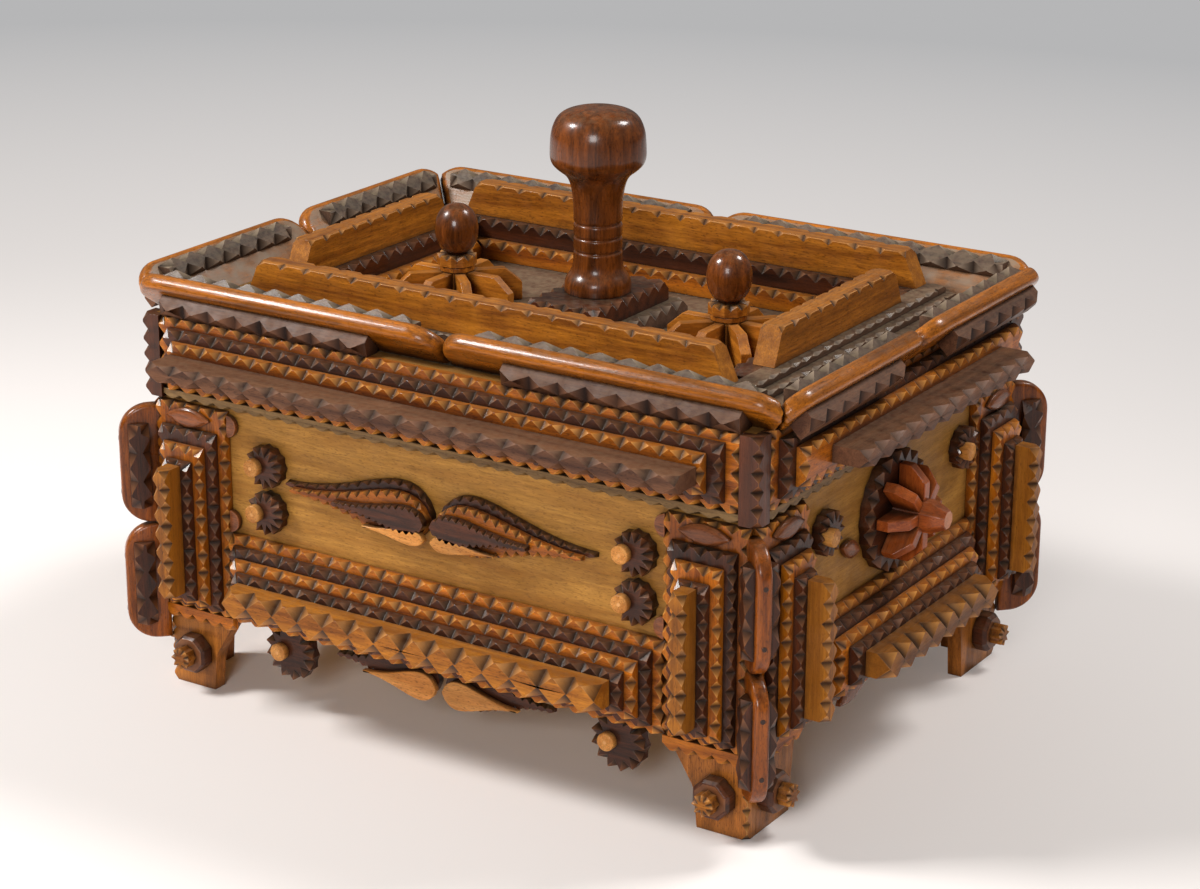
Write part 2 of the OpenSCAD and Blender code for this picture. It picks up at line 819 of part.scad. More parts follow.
module cornice_bars() {
    color("#5a463c") {
        front_back(hy + stack(3)) translate([0, 0, cor_z])
            strip(case_w - 2 * cor_bar_in_front, cor_bar_h, cor_bar_d, bar_pitch, cor_bar_h * 0.3);
        sides(hx + stack(3)) translate([0, 0, cor_z])
            strip(case_d - 2 * cor_bar_in_side, cor_bar_h, cor_bar_d, bar_pitch, cor_bar_h * 0.3);
    }
}

// Upright angle strip that wraps the lid's corner, its arris carved
module corner_bars() {
    h = ledge_z - part_z - 0.3;
    leg = cor_inset;
    color("#45231c")
        at_corners() translate([0, 0, part_z + 0.3 + h / 2])
            intersection() {
                rotate([0, 0, 45]) difference() {
                    translate([-leg, -strip_t, -h / 2]) cube([leg + strip_t, leg + strip_t, h]);
                    translate([-leg - 1, 0, -h]) cube([leg + 1, leg + strip_t + 1, 2 * h]);
                }
                translate([strip_t * sqrt(2), 0, 0]) rotate([90, 0, 0]) rotate([0, 0, -90])
                    translate([0, 0, -20]) linear_extrude(40)
                        polygon(zigzag(h, notch_pitch, notch_depth, 30));
            }
}

// Rim

// Upright wedge that mitres a board of half length L at the corner
module mitre(off_x, off_y) {
    g = rim_gap / 2;
    linear_extrude(rim_z + far)
        polygon([[g, far - off_y], [g, -off_y - far], [off_x + far - g, -off_y - far],
            [off_x - far - g, far - off_y]]);
}

module rim_half(half, off, low) {
    run = (rim_z - low) / r45 + 2 * rim_t;
    intersection() {
        translate([0, -off, rim_z]) rotate([45, 0, 0]) rotate([90, 0, 0])
            translate([rim_gap / 2, -run, -rim_t])
                linear_extrude(rim_t) rim_outline(half - rim_gap, run);
        translate([-2 * case_w, -2 * case_w, low]) cube([4 * case_w, 4 * case_w, far]);
        mitre(half, off);
    }
}

// Board outline, both upper corners rounded
module rim_outline(len, h) {
    r = rim_r;
    square([len, h - r]);
    translate([r, h - r]) square([len - 2 * r, r]);
    for (x = [r, len - r]) translate([x, h - r]) circle(r, $fn = 64);
}

module rim_pairs(half_x, half_y) {
    for (m = [0, 1]) mirror([m, 0, 0]) {
        front_back(0) children(0);
        sides(0) children(1);
    }
}

module rim_boards() {
    color("#9a6230")
        rim_pairs() {
            rim_half(rim_x, rim_y, ledge_z);
            rim_half(rim_y, rim_x, ledge_z);
        }
}

// Carved strip on the inner face of a rim board
module rim_in(half, off) {
    len = half - 2 * rim_r - 6;
    translate([half / 2 - 2, -off, rim_z]) rotate([45, 0, 0])
        translate([0, rim_t, -4])
            mirror([0, 1, 0]) translate([0, 0, -rim_in_w / 2])
                strip(len, rim_in_w, rim_in_t, bar_pitch, 2.6);
}

module rim_inner_strips() {
    color("#4c3c38")
        rim_pairs() {
            rim_in(rim_x, rim_y);
            rim_in(rim_y, rim_x);
        }
}

// Toothed strip on the outer face of a rim board
module rim_out(half, off) {
    len = half * rim_out_part;
    translate([half * 0.53, -off, rim_z]) rotate([45, 0, 0])
        translate([0, 0, -3 - rim_out_w])
            tooth_band(len, rim_out_w, rim_out_t, bar_pitch, rim_tooth);
}

module rim_outer_strips() {
    color("#4f3230")
        rim_pairs() {
            rim_out(rim_x, rim_y);
            rim_out(rim_y, rim_x);
        }
}

// Tray frame

// Four carved strips in a ring, corners butted: half sizes over the outer faces
module step_ring(out_x, out_y, in_x, in_y, z, h) {
    front_back(in_y) translate([0, 0, z + h / 2])
        strip(2 * out_x, h, out_y - in_y, notch_pitch, min(h * 0.45, notch_depth), true, false);
    sides(in_x) translate([0, 0, z + h / 2])
        strip(2 * in_y, h, out_x - in_x, notch_pitch, min(h * 0.45, notch_depth), true, false);
}

module tray_outer_steps() {
    in_y = tray_y - crest_t / 2;
    in_x = tray_x - crest_t / 2;
    color("#8a7a4c") {
        step_ring(tray_x + 2 * step_out_w, tray_y + step_out_w, in_x, in_y, ledge_z, step_out_h);
        step_ring(tray_x + step_out_w, tray_y + step_out_w / 2, in_x, in_y,
            ledge_z + step_out_h, step_out_h);
    }
}

module tray_inner(k) {
    in_y = tray_y - crest_t / 2;
    in_x = tray_x - crest_t / 2;
    w = crest_t / 2 + (k == 0 ? 2 : 1) * step_in_w;
    z = deck_z + (k + 0.5) * step_in_h;
    front_back(in_y) translate([0, 0, z]) mirror([0, 1, 0])
        strip(2 * in_x, step_in_h, w, notch_pitch, notch_depth, true, false);
    sides(in_x) translate([0, 0, z]) mirror([0, 1, 0])
        strip(2 * (in_y - w), step_in_h, w, notch_pitch, notch_depth, true, false);
}

module tray_inner_low() { color("#b07a38") tray_inner(0); }

module tray_inner_high() { color("#5a3e2a") tray_inner(1); }

// Standing board with sloped ends, both upper arrises carved
module crest_board(len) {
    intersection() {
        translate([0, 0, crest_h / 2]) {
            strip(len, crest_h, crest_t, bar_pitch, 1.8, true, false);
        }
        translate([0, -crest_t, crest_h / 2]) mirror([0, 1, 0])
            strip(len, crest_h, crest_t, bar_pitch, 1.8, true, false);
        rotate([90, 0, 0]) linear_extrude(3 * crest_t, center = true)
            polygon([[-len / 2, 0], [len / 2, 0], [len / 2 - crest_slope, crest_h],
                [-len / 2 + crest_slope, crest_h]]);
    }
}

module tray_crest() {
    color("#b5762f") {
        front_back(tray_y - crest_t) translate([0, 0, crest_z])
            crest_board(2 * (tray_x - crest_t / 2 + 1));
        sides(tray_x - crest_t) translate([0, 0, crest_z])
            crest_board(2 * (tray_y - crest_t - crest_gap));
    }
}

// Plinth block with carved upper arrises on all four sides
module plinth_block(w, l, z) {
    translate([knob_x, 0, z]) intersection() {
        translate([-w / 2, -l / 2, 0]) cube([w, l, plinth_h]);
        for_arris(w, l, 0);
        for_arris(w, l, 180);
        for_arris(l, w, 90);
        for_arris(l, w, 270);
    }
}

module for_arris(w, l, a) {
    rotate([0, 0, a]) translate([0, -l / 2, plinth_h])
        carve(w, 135, notch_pitch, notch_depth, w + l);
}

module plinth_low() { color("#6e6250") plinth_block(plinth_w, plinth_l, deck_z); }

module plinth_high() {
    color("#4a3228") plinth_block(plinth_w - 2 * plinth_step, plinth_l - 2 * plinth_step,
        deck_z + plinth_h);
}

// Turned knob: flange, stem with scribed rings, flared neck and domed cap
module knob() {
    h = knob_h;
    r = knob_r;
    s = stem_r;
    color("#5e3320")
        translate([knob_x, 0, plinth_top])
            rotate_extrude($fn = 96)
                difference() {
                    union() {
                        polygon(concat(
                            [[0, 0], [flange_r, 0], [flange_r, 2.5]],
                            [for (i = [1:8]) let (u = i / 8)
                                [s + (flange_r - s) * cos(90 * u), 2.5 + 6 * sin(90 * u)]],
                            [[s, h * 0.5]],
                            [for (i = [0:10]) let (u = i / 10)
                                [s + (r - s) * (1 - cos(90 * u)), h * 0.54 + h * 0.13 * u]],
                            [for (i = [0:14]) let (a = i * 90 / 14)
                                [max(0, r * pow(cos(a), 0.55)), h * 0.7 + h * 0.3 * sin(a)]],
                            []
                        ));
                    }
                    for (k = [0:2]) translate([s, h * (0.3 + 0.06 * k)])
                        rotate([0, 0, 45]) square(0.9, center = true);
                }
}

// Finials

module at_finials() {
    for (s = [-1, 1]) translate([s * fin_x, 0, 0]) children();
}

module finial_balls() {
    b = ball_h / 2;
    color("#5c382a")
        at_finials() translate([0, 0, fin_top + collar_h - 0.8])
            rotate_extrude($fn = 96)
                intersection() {
                    polygon([for (i = [0:32]) let (a = -90 + i * 180 / 32)
                        [max(0, ball_r * cos(a)), b + b * sin(a)]]);
                    translate([0, 0.8]) square([ball_r + 1, ball_h]);
                }
}

// Eight-sided post that carries the radial boards, with its notched collar
module finial_posts() {
    color("#8a4f2c")
        at_finials() {
            translate([0, 0, deck_z]) rotate([0, 0, 22.5])
                cylinder(fin_h, d = post_w / cos(22.5), $fn = 8);
            translate([0, 0, fin_top]) cylinder(collar_h * 0.35, d = post_w + 2, $fn = 48);
            translate([0, 0, fin_top + collar_h * 0.35]) linear_extrude(collar_h * 0.65)
                polygon(star(post_w / 2 + 2, 1.4, 10));
        }
}

module finial_petals() {
    color("#a5642e")
        at_finials() for (i = [0:7]) rotate([0, 0, i * 45])
            rotate([90, 0, 0]) linear_extrude(fin_t, center = true)
                polygon([[post_w / 2, deck_z], [fin_r, deck_z], [fin_r, fin_top - fin_h * 0.45],
                    [fin_r - 7, fin_top], [post_w / 2, fin_top]]);
}

front_panel();
back_panel();
left_panel();
right_panel();
floor_board();
feet();
lid_lip();
base_layer_1();
base_layer_2();
base_layer_3();
base_layer_4();
base_bars();
pilaster_layer_1();
pilaster_layer_2();
pilaster_layer_3();
pilaster_layer_4();
pilaster_bars();
pilaster_chips();
ears();
ear_strips();
foot_bosses();
foot_buttons();
scroll_outer();
scroll_middle();
scroll_inner();
scroll_leaves();
crescents();
pegs();
half_chips();
apron_discs();
apron_pegs();
apron_scrolls();
apron_lobes();
rosette_rings();
rosette_petals();
rosette_hubs();
side_leaves();
lid_long_walls();
lid_side_walls();
lid_ledge();
lid_deck();
lid_band();
cornice_layer_1();
cornice_layer_2();
cornice_layer_3();
cornice_bars();
corner_bars();
rim_boards();
rim_inner_strips();
rim_outer_strips();
tray_outer_steps();
tray_inner_low();
tray_inner_high();
tray_crest();
plinth_low();
plinth_high();
knob();
finial_balls();
finial_posts();
finial_petals();
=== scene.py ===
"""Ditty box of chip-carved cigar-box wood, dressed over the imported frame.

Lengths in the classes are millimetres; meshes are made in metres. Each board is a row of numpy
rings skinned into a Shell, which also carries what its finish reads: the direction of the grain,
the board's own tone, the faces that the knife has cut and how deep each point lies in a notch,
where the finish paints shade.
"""

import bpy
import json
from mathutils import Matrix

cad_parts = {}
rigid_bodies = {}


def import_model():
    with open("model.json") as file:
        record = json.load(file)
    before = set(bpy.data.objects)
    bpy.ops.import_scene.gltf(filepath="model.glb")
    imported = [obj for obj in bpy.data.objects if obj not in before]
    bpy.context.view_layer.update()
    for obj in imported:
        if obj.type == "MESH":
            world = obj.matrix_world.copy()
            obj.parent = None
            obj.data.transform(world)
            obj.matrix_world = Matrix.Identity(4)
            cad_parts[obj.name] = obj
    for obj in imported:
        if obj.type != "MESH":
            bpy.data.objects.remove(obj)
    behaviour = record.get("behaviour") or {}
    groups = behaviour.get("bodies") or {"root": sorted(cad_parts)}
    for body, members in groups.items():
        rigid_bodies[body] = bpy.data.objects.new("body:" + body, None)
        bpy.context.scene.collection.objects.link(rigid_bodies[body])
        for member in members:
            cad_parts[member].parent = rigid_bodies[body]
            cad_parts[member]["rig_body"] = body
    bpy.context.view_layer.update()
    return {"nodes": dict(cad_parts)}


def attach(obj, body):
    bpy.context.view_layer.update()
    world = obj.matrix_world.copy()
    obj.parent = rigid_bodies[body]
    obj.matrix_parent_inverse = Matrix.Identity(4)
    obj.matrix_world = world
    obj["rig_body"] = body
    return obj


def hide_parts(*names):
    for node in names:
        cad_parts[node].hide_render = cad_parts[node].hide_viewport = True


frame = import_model()

import json
import logging
import math
from dataclasses import dataclass
from enum import Enum
from typing import Any, ClassVar, Iterable, Iterator, Sequence

import bpy
import numpy as np
from mathutils import Matrix

LOG = logging.getLogger("ditty_box")
MM = 0.001        # one millimetre in metres
HX = 132.0        # half the length of the case
HY = 101.0        # half the depth of the case
CASE_TOP = 120.0  # parting line between case and lid
LEDGE = 153.0     # top of the cornice
DECK = 143.0      # bottom of the tray in the lid
STRIP = 4.0       # thickness of one carved strip
PITCH = 8.0       # spacing of the small notches
BOLD = 11.6       # spacing of the bold notches
HAIR = 0.16       # what a sharp arris has lost to wear
LEAST = 0.2       # least chamfer of a cut arris, and least wood left behind a cut
BLUNT = 1.5       # distance of a wing's blunt end from the middle of its scroll
TO_CORNER = 1 / math.cos(math.radians(22.5))  # an octagon's radius over half its width

Pair = tuple[float, float]
Triple = tuple[float, float, float]
Rosace = tuple[float, float, int, float]  # radius, thickness, teeth and bite of a notched disc


# Frames and outlines


def shift(x: float, y: float, z: float) -> np.ndarray:
    """Works out the matrix of a plain move.

    Args:
        x: Move along X.
        y: Move along Y.
        z: Move along Z.

    Returns:
        4 by 4 identity with the move in its last column.
    """
    out = np.eye(4)
    out[:3, 3] = (x, y, z)
    return out


def spin(axis: str, degrees: float) -> np.ndarray:
    """Works out the matrix of a turn.

    Args:
        axis: "x", "y" or "z".
        degrees: Right-handed angle.

    Returns:
        4 by 4 identity with the cosine and sine of the angle in the two other rows.
    """
    a = math.radians(degrees)
    first, second = {"x": (1, 2), "y": (2, 0), "z": (0, 1)}[axis]
    out = np.eye(4)
    out[[first, second], [first, second]] = math.cos(a)
    out[first, second] = -math.sin(a)
    out[second, first] = math.sin(a)
    return out


AS_IS = np.eye(4)
MIRROR_X = np.diag([-1.0, 1.0, 1.0, 1.0])
MIRROR_Y = np.diag([1.0, -1.0, 1.0, 1.0])
UPRIGHT = spin("y", 90)


class Side(Enum):
    """Face of the box, by its angle about the upright axis."""

    FRONT = 0
    RIGHT = 90
    BACK = 180
    LEFT = 270

    @property
    def is_long(self) -> bool:
        """True for the front and the back."""
        return self in (Side.FRONT, Side.BACK)

    @property
    def wall(self) -> float:
        """Distance from the middle to this face of the case."""
        return HY if self.is_long else HX

    @property
    def reach(self) -> float:
        """Half the length of this face of the case."""
        return HX if self.is_long else HY

    def pick(self, long: Any, short: Any) -> Any:
        """Returns the first value on the front and the back, the second on the ends."""
        return long if self.is_long else short

    def at(self, out: float, along: float = 0.0, up: float = 0.0) -> np.ndarray:
        """Returns the frame on this face: X along it, -Y outwards, Z up."""
        return spin("z", self.value) @ shift(along, -out, up)


LONG_SIDES = (Side.FRONT, Side.BACK)
END_SIDES = (Side.RIGHT, Side.LEFT)


def both_ways(sides: Iterable[Side]) -> Iterator[tuple[Side, np.ndarray]]:
    """Yields each side twice, as it is and with its X turned over.

    Args:
        sides: Sides to go round.
    """
    for side in sides:
        yield side, AS_IS
        yield side, MIRROR_X


def corners() -> Iterator[np.ndarray]:
    """Yields the frame of each upright corner, +X along the outward diagonal."""
    for sx in (AS_IS, MIRROR_X):
        for sy in (AS_IS, MIRROR_Y):
            yield sx @ sy @ shift(HX, -HY, 0) @ spin("z", -45)


def circle(radius: float, count: int = 40, start: float = 0.0, sweep: float = 360.0) -> np.ndarray:
    """Works out a circle or an arc: radius times (cos, sin) of evenly spaced angles.

    Args:
        radius: Radius.
        count: Number of points.
        start: Angle of the first point, degrees.
        sweep: Angle covered; an arc of less than a full turn keeps both its ends.

    Returns:
        (count, 2) points.
    """
    a = np.radians(start + np.linspace(0, sweep, count, endpoint=sweep < 360.0))
    return radius * np.stack([np.cos(a), np.sin(a)], axis=1)


def lens(length: float, height: float, count: int = 28) -> np.ndarray:
    """Works out a pointed oval: half height falls off as 1 - u squared, u from -1 to 1.

    Args:
        length: Length between the points.
        height: Greatest height.
        count: Points along each edge.

    Returns:
        (n, 2) anticlockwise corners.
    """
    u = np.linspace(-1, 1, count)
    top = np.stack([u * length / 2, (1 - u ** 2) * height / 2], axis=1)
    return np.concatenate([top * (1, -1), top[-2:0:-1]])


def wing_half(u: np.ndarray, height: float) -> np.ndarray:
    """Half height of a wing at the share u of its length: height * sin(pi u^0.45)^1.8."""
    return height * np.sin(math.pi * u ** 0.45).clip(0) ** 1.8


def leaf(length: float, half: float, count: int = 26) -> np.ndarray:
    """Works out a smooth wing: blunt near the middle, drawn out to a tail.

    Args:
        length: Length.
        half: Greatest half height.
        count: Points along each edge.

    Returns:
        (2 * count, 2) anticlockwise corners.
    """
    u = np.linspace(0, 1, count)
    top = np.stack([BLUNT + u * length, wing_half(u, half) + 0.35], 1)
    return np.concatenate([top * (1, -1), top[::-1]])


def inset(outline: np.ndarray, amount: float) -> np.ndarray:
    """Moves a closed outline inwards.

    Args:
        outline: (n, 2) corners, anticlockwise.
        amount: Distance from each old edge to the new one.

    Returns:
        Each corner moved along the sum of its two edge normals, over one plus their product.
    """
    edge = np.roll(outline, -1, axis=0) - outline
    normal = np.stack([edge[:, 1], -edge[:, 0]], axis=1)
    normal /= np.linalg.norm(edge, axis=1, keepdims=True)
    before = np.roll(normal, 1, axis=0)
    along = (normal + before) / (1 + (normal * before).sum(axis=1, keepdims=True)).clip(0.3)
    return outline - along * amount


# Meshes


@dataclass(frozen=True)
class Carving:
    """Rows of V notches on a strip.

    The depth is square to the arris's 45 degree face. Where the cut isn't at 45 degrees, deep
    gives how far it goes into the thickness and down the face.
    """

    pitch: float
    depth: float
    top: bool = True
    bottom: bool = True
    ends: bool = True
    deep: Pair | None = None


class Shell:
    """Closed boards of one piece, with the grain, tone and knife cuts that its finish reads."""

    def __init__(self, seed: int) -> None:
        """Starts an empty shell.

        Args:
            seed: Where its small unevennesses come from.
        """
        self.rng = np.random.default_rng(seed)
        self.points: list[np.ndarray] = []
        self.grain: list[np.ndarray] = []
        self.tone: list[np.ndarray] = []
        self.loops: list[np.ndarray] = []
        self.sizes: list[np.ndarray] = []
        self.cut: list[np.ndarray] = []
        self.valley: list[np.ndarray] = []
        self.count = 0

    def loft(self, rings: np.ndarray, place: np.ndarray, cut_sides: Sequence[int] = (),
             grain_axis: int = 0, cut_caps: bool = False, valley: np.ndarray | None = None) -> None:
        """Skins a row of rings and caps both ends.

        Args:
            rings: (m, k, 3) points in the board's own frame.
            place: Frame that the board goes to.
            cut_sides: Sides of the ring that the knife has cut.
            grain_axis: Axis of the board's own frame that its grain follows.
            cut_caps: True where the two ends show cut end grain.
            valley: (m, k) how deep in a notch each point lies, from 0 to 1.

        The quad of side j between rings i and i + 1 joins points j and j + 1 of both. The whole
        board is turned round if its signed volume comes out negative.
        """
        m, k, _ = rings.shape
        flat = rings.reshape(-1, 3)
        i, j = np.meshgrid(np.arange(m - 1), np.arange(k), indexing="ij")
        jn = (j + 1) % k
        quads = np.stack([i * k + j, i * k + jn, (i + 1) * k + jn, (i + 1) * k + j], -1)
        quads = quads.reshape(-1, 4)
        caps = [np.arange(k)[::-1], (m - 1) * k + np.arange(k)]
        world = flat @ place[:3, :3].T + place[:3, 3]
        fans = [quads[:, [0, 1, 2]], quads[:, [0, 2, 3]]]
        fans += [np.stack([np.full(k - 2, c[0]), c[1:-1], c[2:]], 1) for c in caps]
        corner = world[np.concatenate(fans)] - world.mean(axis=0)
        volume = np.einsum("ij,ij->i", corner[:, 0], np.cross(corner[:, 1], corner[:, 2])).sum()
        if volume < 0:
            quads = quads[:, ::-1]
            caps = [c[::-1] for c in caps]
        order = [grain_axis] + [a for a in range(3) if a != grain_axis]
        self.points.append(world)
        self.grain.append(flat[:, order] + self.rng.uniform(0, 900, 3))
        self.tone.append(np.full(len(flat), self.rng.uniform(-1, 1)))
        self.valley.append(np.zeros(len(flat)) if valley is None else valley.ravel())
        self.loops.append(np.concatenate([quads.ravel()] + caps) + self.count)
        self.sizes.append(np.concatenate([np.full(len(quads), 4), [k, k]]))
        cuts = np.concatenate([np.isin(j, cut_sides).ravel(), [cut_caps, cut_caps]])
        self.cut.append(cuts.astype(float))
        self.count += len(flat)

    def mark(self, tone: float | None = None, cut: float | None = None,
             valley: float | None = None) -> None:
        """Overrides what the finish reads on the board that was added last.

        Args:
            tone: Tone of the board, from -3, dark, to 1, light.
            cut: 1 where the knife has cut every face, 0 where it has cut none.
            valley: 1 where the cuts are painted dark as shade, 0 where they are not.
        """
        for values, value in ((self.tone, tone), (self.cut, cut), (self.valley, valley)):
            if value is not None:
                values[-1][:] = value

    def knife(self, outline: np.ndarray, inward: np.ndarray, share: np.ndarray, thick: float,
              into: float, place: np.ndarray) -> None:
        """Adds a board whose front arris is cut back by V notches.

        Args:
            outline: (k, 2) anticlockwise corners in X and Z, valleys and pyramids in turn.
            inward: (k, 2) how far each corner of the face stands inside the outline.
            share: (k,) depth of the cut at each corner, 1 in a valley and 0 on a pyramid.
            thick: Thickness; the back lies on y = 0 and the face on y = -thick.
            into: How far a valley is cut back into the thickness.
            place: Frame that the board goes to.

        Three rings: the back, the belt where the cut leaves the edge, and the face.
        """
        k = len(outline)
        belt = -thick + HAIR + share * (min(into, thick - LEAST) - HAIR)
        rings = [np.insert(outline, 1, 0.0, axis=1), np.insert(outline, 1, belt, axis=1),
                 np.insert(outline + inward, 1, -thick, axis=1)]
        self.loft(np.array(rings), place, valley=np.stack([0 * share, share, share]))
        self.cut[-1][k:2 * k] = np.maximum(share, np.roll(share, -1)) > 0.5

    def notches(self, length: float, pitch: float,
                land: float = 0.5) -> tuple[np.ndarray, np.ndarray]:
        """Works out a row of V notches with flat-topped pyramids between them.

        Args:
            length: Length of the row.
            pitch: Wanted distance between notches; it is rounded to a whole number of them.
            land: Half width of a pyramid's flat top.

        Returns:
            Places from end to end, and the share of the full cut at each: about 1 in the
            valleys, uneven by a few percent as knife work is, and 0 on the pyramids.
        """
        n = max(1, round(length / pitch))
        step = length / n
        valley = np.linspace(-length / 2, length / 2, n + 1)
        valley[1:-1] += self.rng.normal(0, 0.025 * step, n - 1)
        peak = (valley[1:] + valley[:-1]) / 2 + self.rng.normal(0, 0.02 * step, n)
        land = min(land, 0.36 * step)
        x = np.empty(3 * n + 1)
        x[0::3], x[1::3], x[2::3] = valley, peak - land, peak + land
        share = np.zeros(3 * n + 1)
        share[0::3] = (1 + self.rng.normal(0, 0.06, n + 1)).clip(0.85, 1.1)
        return x, share

    def strip(self, place: np.ndarray, length: float, height: float, thick: float,
              carving: Carving) -> None:
        """Adds a notched strip, centred on the frame, its back on y = 0.

        Args:
            place: Frame that the strip goes to.
            length: Length along X.
            height: Height along Z.
            thick: Thickness along -Y.
            carving: Its notches.

        The outline runs anticlockwise through the four edges; a corner is a valley of both.
        """
        leg = carving.depth * math.sqrt(2)
        into, down = carving.deep or (leg, leg)
        rows = [(length, height, carving.bottom), (height, length, carving.ends),
                (length, height, carving.top), (height, length, carving.ends)]
        reach = [min(down, across / 2 - LEAST) if cut else HAIR for _, across, cut in rows]
        clear = 0.12  # keeps the points of a plain edge off its corners
        points, inward, shares = [], [], []
        for i, (run, across, cut) in enumerate(rows):
            before, after = (i - 1) % 4, (i + 1) % 4
            t = np.array([-run / 2, reach[before] + clear - run / 2,
                          run / 2 - reach[after] - clear])
            share = np.zeros(3)
            if cut:
                t, share = (v[:-1] for v in self.notches(run, carving.pitch))
            share[0] = 1.0 if cut or rows[before][2] else 0.0
            a, b = math.radians(90 * i), math.radians(90 * before)
            along = np.array([math.cos(a), math.sin(a)])
            inner = np.array([-math.sin(a), math.cos(a)])
            size = HAIR + share * (reach[i] - HAIR)
            size[0] = reach[i]
            moved = size[:, None] * inner
            moved[0] += reach[before] * np.array([-math.sin(b), math.cos(b)])
            points.append(t[:, None] * along - inner * across / 2)
            inward.append(moved)
            shares.append(share)
        self.knife(np.concatenate(points), np.concatenate(inward), np.concatenate(shares), thick,
                   into, place)

    def slab(self, outline: np.ndarray, thick: float, place: np.ndarray, nose: float = 0.0,
             crown: float = 0.0, grain_axis: int = 0, steps: int = 4) -> None:
        """Adds a board of any outline, its back on y = 0 and its face on y = -thick.

        Args:
            outline: (n, 2) anticlockwise corners in X and Z.
            thick: Thickness.
            place: Frame that the board goes to.
            nose: Radius that rounds both edges: inset and depth follow a quarter circle.
            crown: Extra height of a domed face, which rises as the outline draws in.
            grain_axis: Axis that the grain follows.
            steps: Rings of each rounded edge.
        """
        rows = [(0.0, 0.0), (-thick, 0.0)]
        if nose:
            a = np.linspace(0, math.pi / 2, steps)
            rows = [(-nose + nose * math.cos(t), nose - nose * math.sin(t)) for t in a]
            rows += [(-thick + nose - nose * math.sin(t), nose - nose * math.cos(t)) for t in a]
        rings = [np.insert(inset(outline, d), 1, y, axis=1) for y, d in rows]
        if crown:
            middle = outline.mean(axis=0)
            for u in np.linspace(0.25, 0.96, 5):
                face = middle + (inset(outline, nose) - middle) * math.sqrt(1 - u * u)
                rings.append(np.insert(face, 1, -thick - crown * u, axis=1))
        self.loft(np.array(rings), place, grain_axis=grain_axis)

    def lathe(self, radius: Sequence[float], height: Sequence[float], place: np.ndarray,
              count: int = 56, turn: float = 0.0) -> None:
        """Adds a turned form about the frame's Z: each ring is a circle of radius at height.

        Args:
            radius: Radius of each ring.
            height: Height of each ring.
            place: Frame of the axis.
            count: Points of a ring; 8 makes a faceted form.
            turn: Angle of a ring's first point, degrees.
        """
        ring = np.insert(circle(1.0, count, turn), 2, 0.0, axis=1)
        rings = ring[None] * np.asarray(radius)[:, None, None]
        rings[:, :, 2] = np.asarray(height)[:, None]
        self.loft(rings, place, grain_axis=2, cut_caps=True)

    def rosace(self, radius: float, thick: float, teeth: int, bite: float,
               place: np.ndarray) -> None:
        """Adds a disc whose front rim is notched: odd points draw in by the bite on the face.

        Args:
            radius: Radius over the teeth.
            thick: Thickness along -Y.
            teeth: Number of teeth.
            bite: How far a notch reaches in from the rim.
            place: Frame of the disc's middle, its face towards -Y.

        The rim itself draws in by 0.8 at a notch, and the whole face has a chamfer of 0.3.
        """
        unit = circle(1.0, 2 * teeth)
        odd = (np.arange(2 * teeth) % 2 == 1) * (1 + self.rng.normal(0, 0.05, 2 * teeth))
        edge = unit * (radius - 0.8 * odd)[:, None]
        self.knife(edge, -unit * (0.3 + bite * odd)[:, None], odd, thick, 0.85 * bite, place)

    def wing(self, place: np.ndarray, length: float, half: float, bite: float) -> None:
        """Adds a notched wing that tapers to a tip.

        Args:
            place: Frame of the scroll's middle, X towards the tip.
            length: Length.
            half: Greatest half height, less that of the tip.
            bite: How far a notch cuts down the face.
        """
        teeth, tip, thick, into = 14, 0.9, 3.0, 2.4
        x, share = self.notches(length, length / teeth, land=0.3)
        tall = wing_half(((x + length / 2) / length).clip(0, 1), half) + tip
        top = np.stack([x + length / 2 + BLUNT, tall], 1)
        drawn = np.stack([0 * x, np.minimum(0.12 + bite * share, 0.75 * tall)], 1)
        self.knife(np.concatenate([top * (1, -1), top[::-1]]),
                   np.concatenate([drawn, -drawn[::-1]]),
                   np.concatenate([share, share[::-1]]), thick, into, place)

    def dowel(self, place: np.ndarray, radius: float = 3.5, length: float = 8.0) -> None:
        """Adds a dowel along -Y with a softened, slightly domed end.

        Args:
            place: Frame of the dowel's root.
            radius: Radius.
            length: Length.
        """
        r = np.array([1.0, 1.0, 0.97, 0.86, 0.6, 0.2]) * radius
        h = length - np.array([length, 0.55, 0.3, 0.1, 0.03, 0.0])
        self.lathe(r, h, place @ spin("x", 90), 32)

    def brad(self, place: np.ndarray) -> None:
        """Adds a sunk brad head along the frame's Z, 2 mm across and dished, painted dark as shade.
        """
        self.lathe((1.0, 1.0, 0.8, 0.2), (-0.6, 0.08, 0.12, 0.02), place, 12)
        # Cut and valley at full darken the whole head: painted shade in its hole
        self.mark(cut=1.0, valley=1.0)

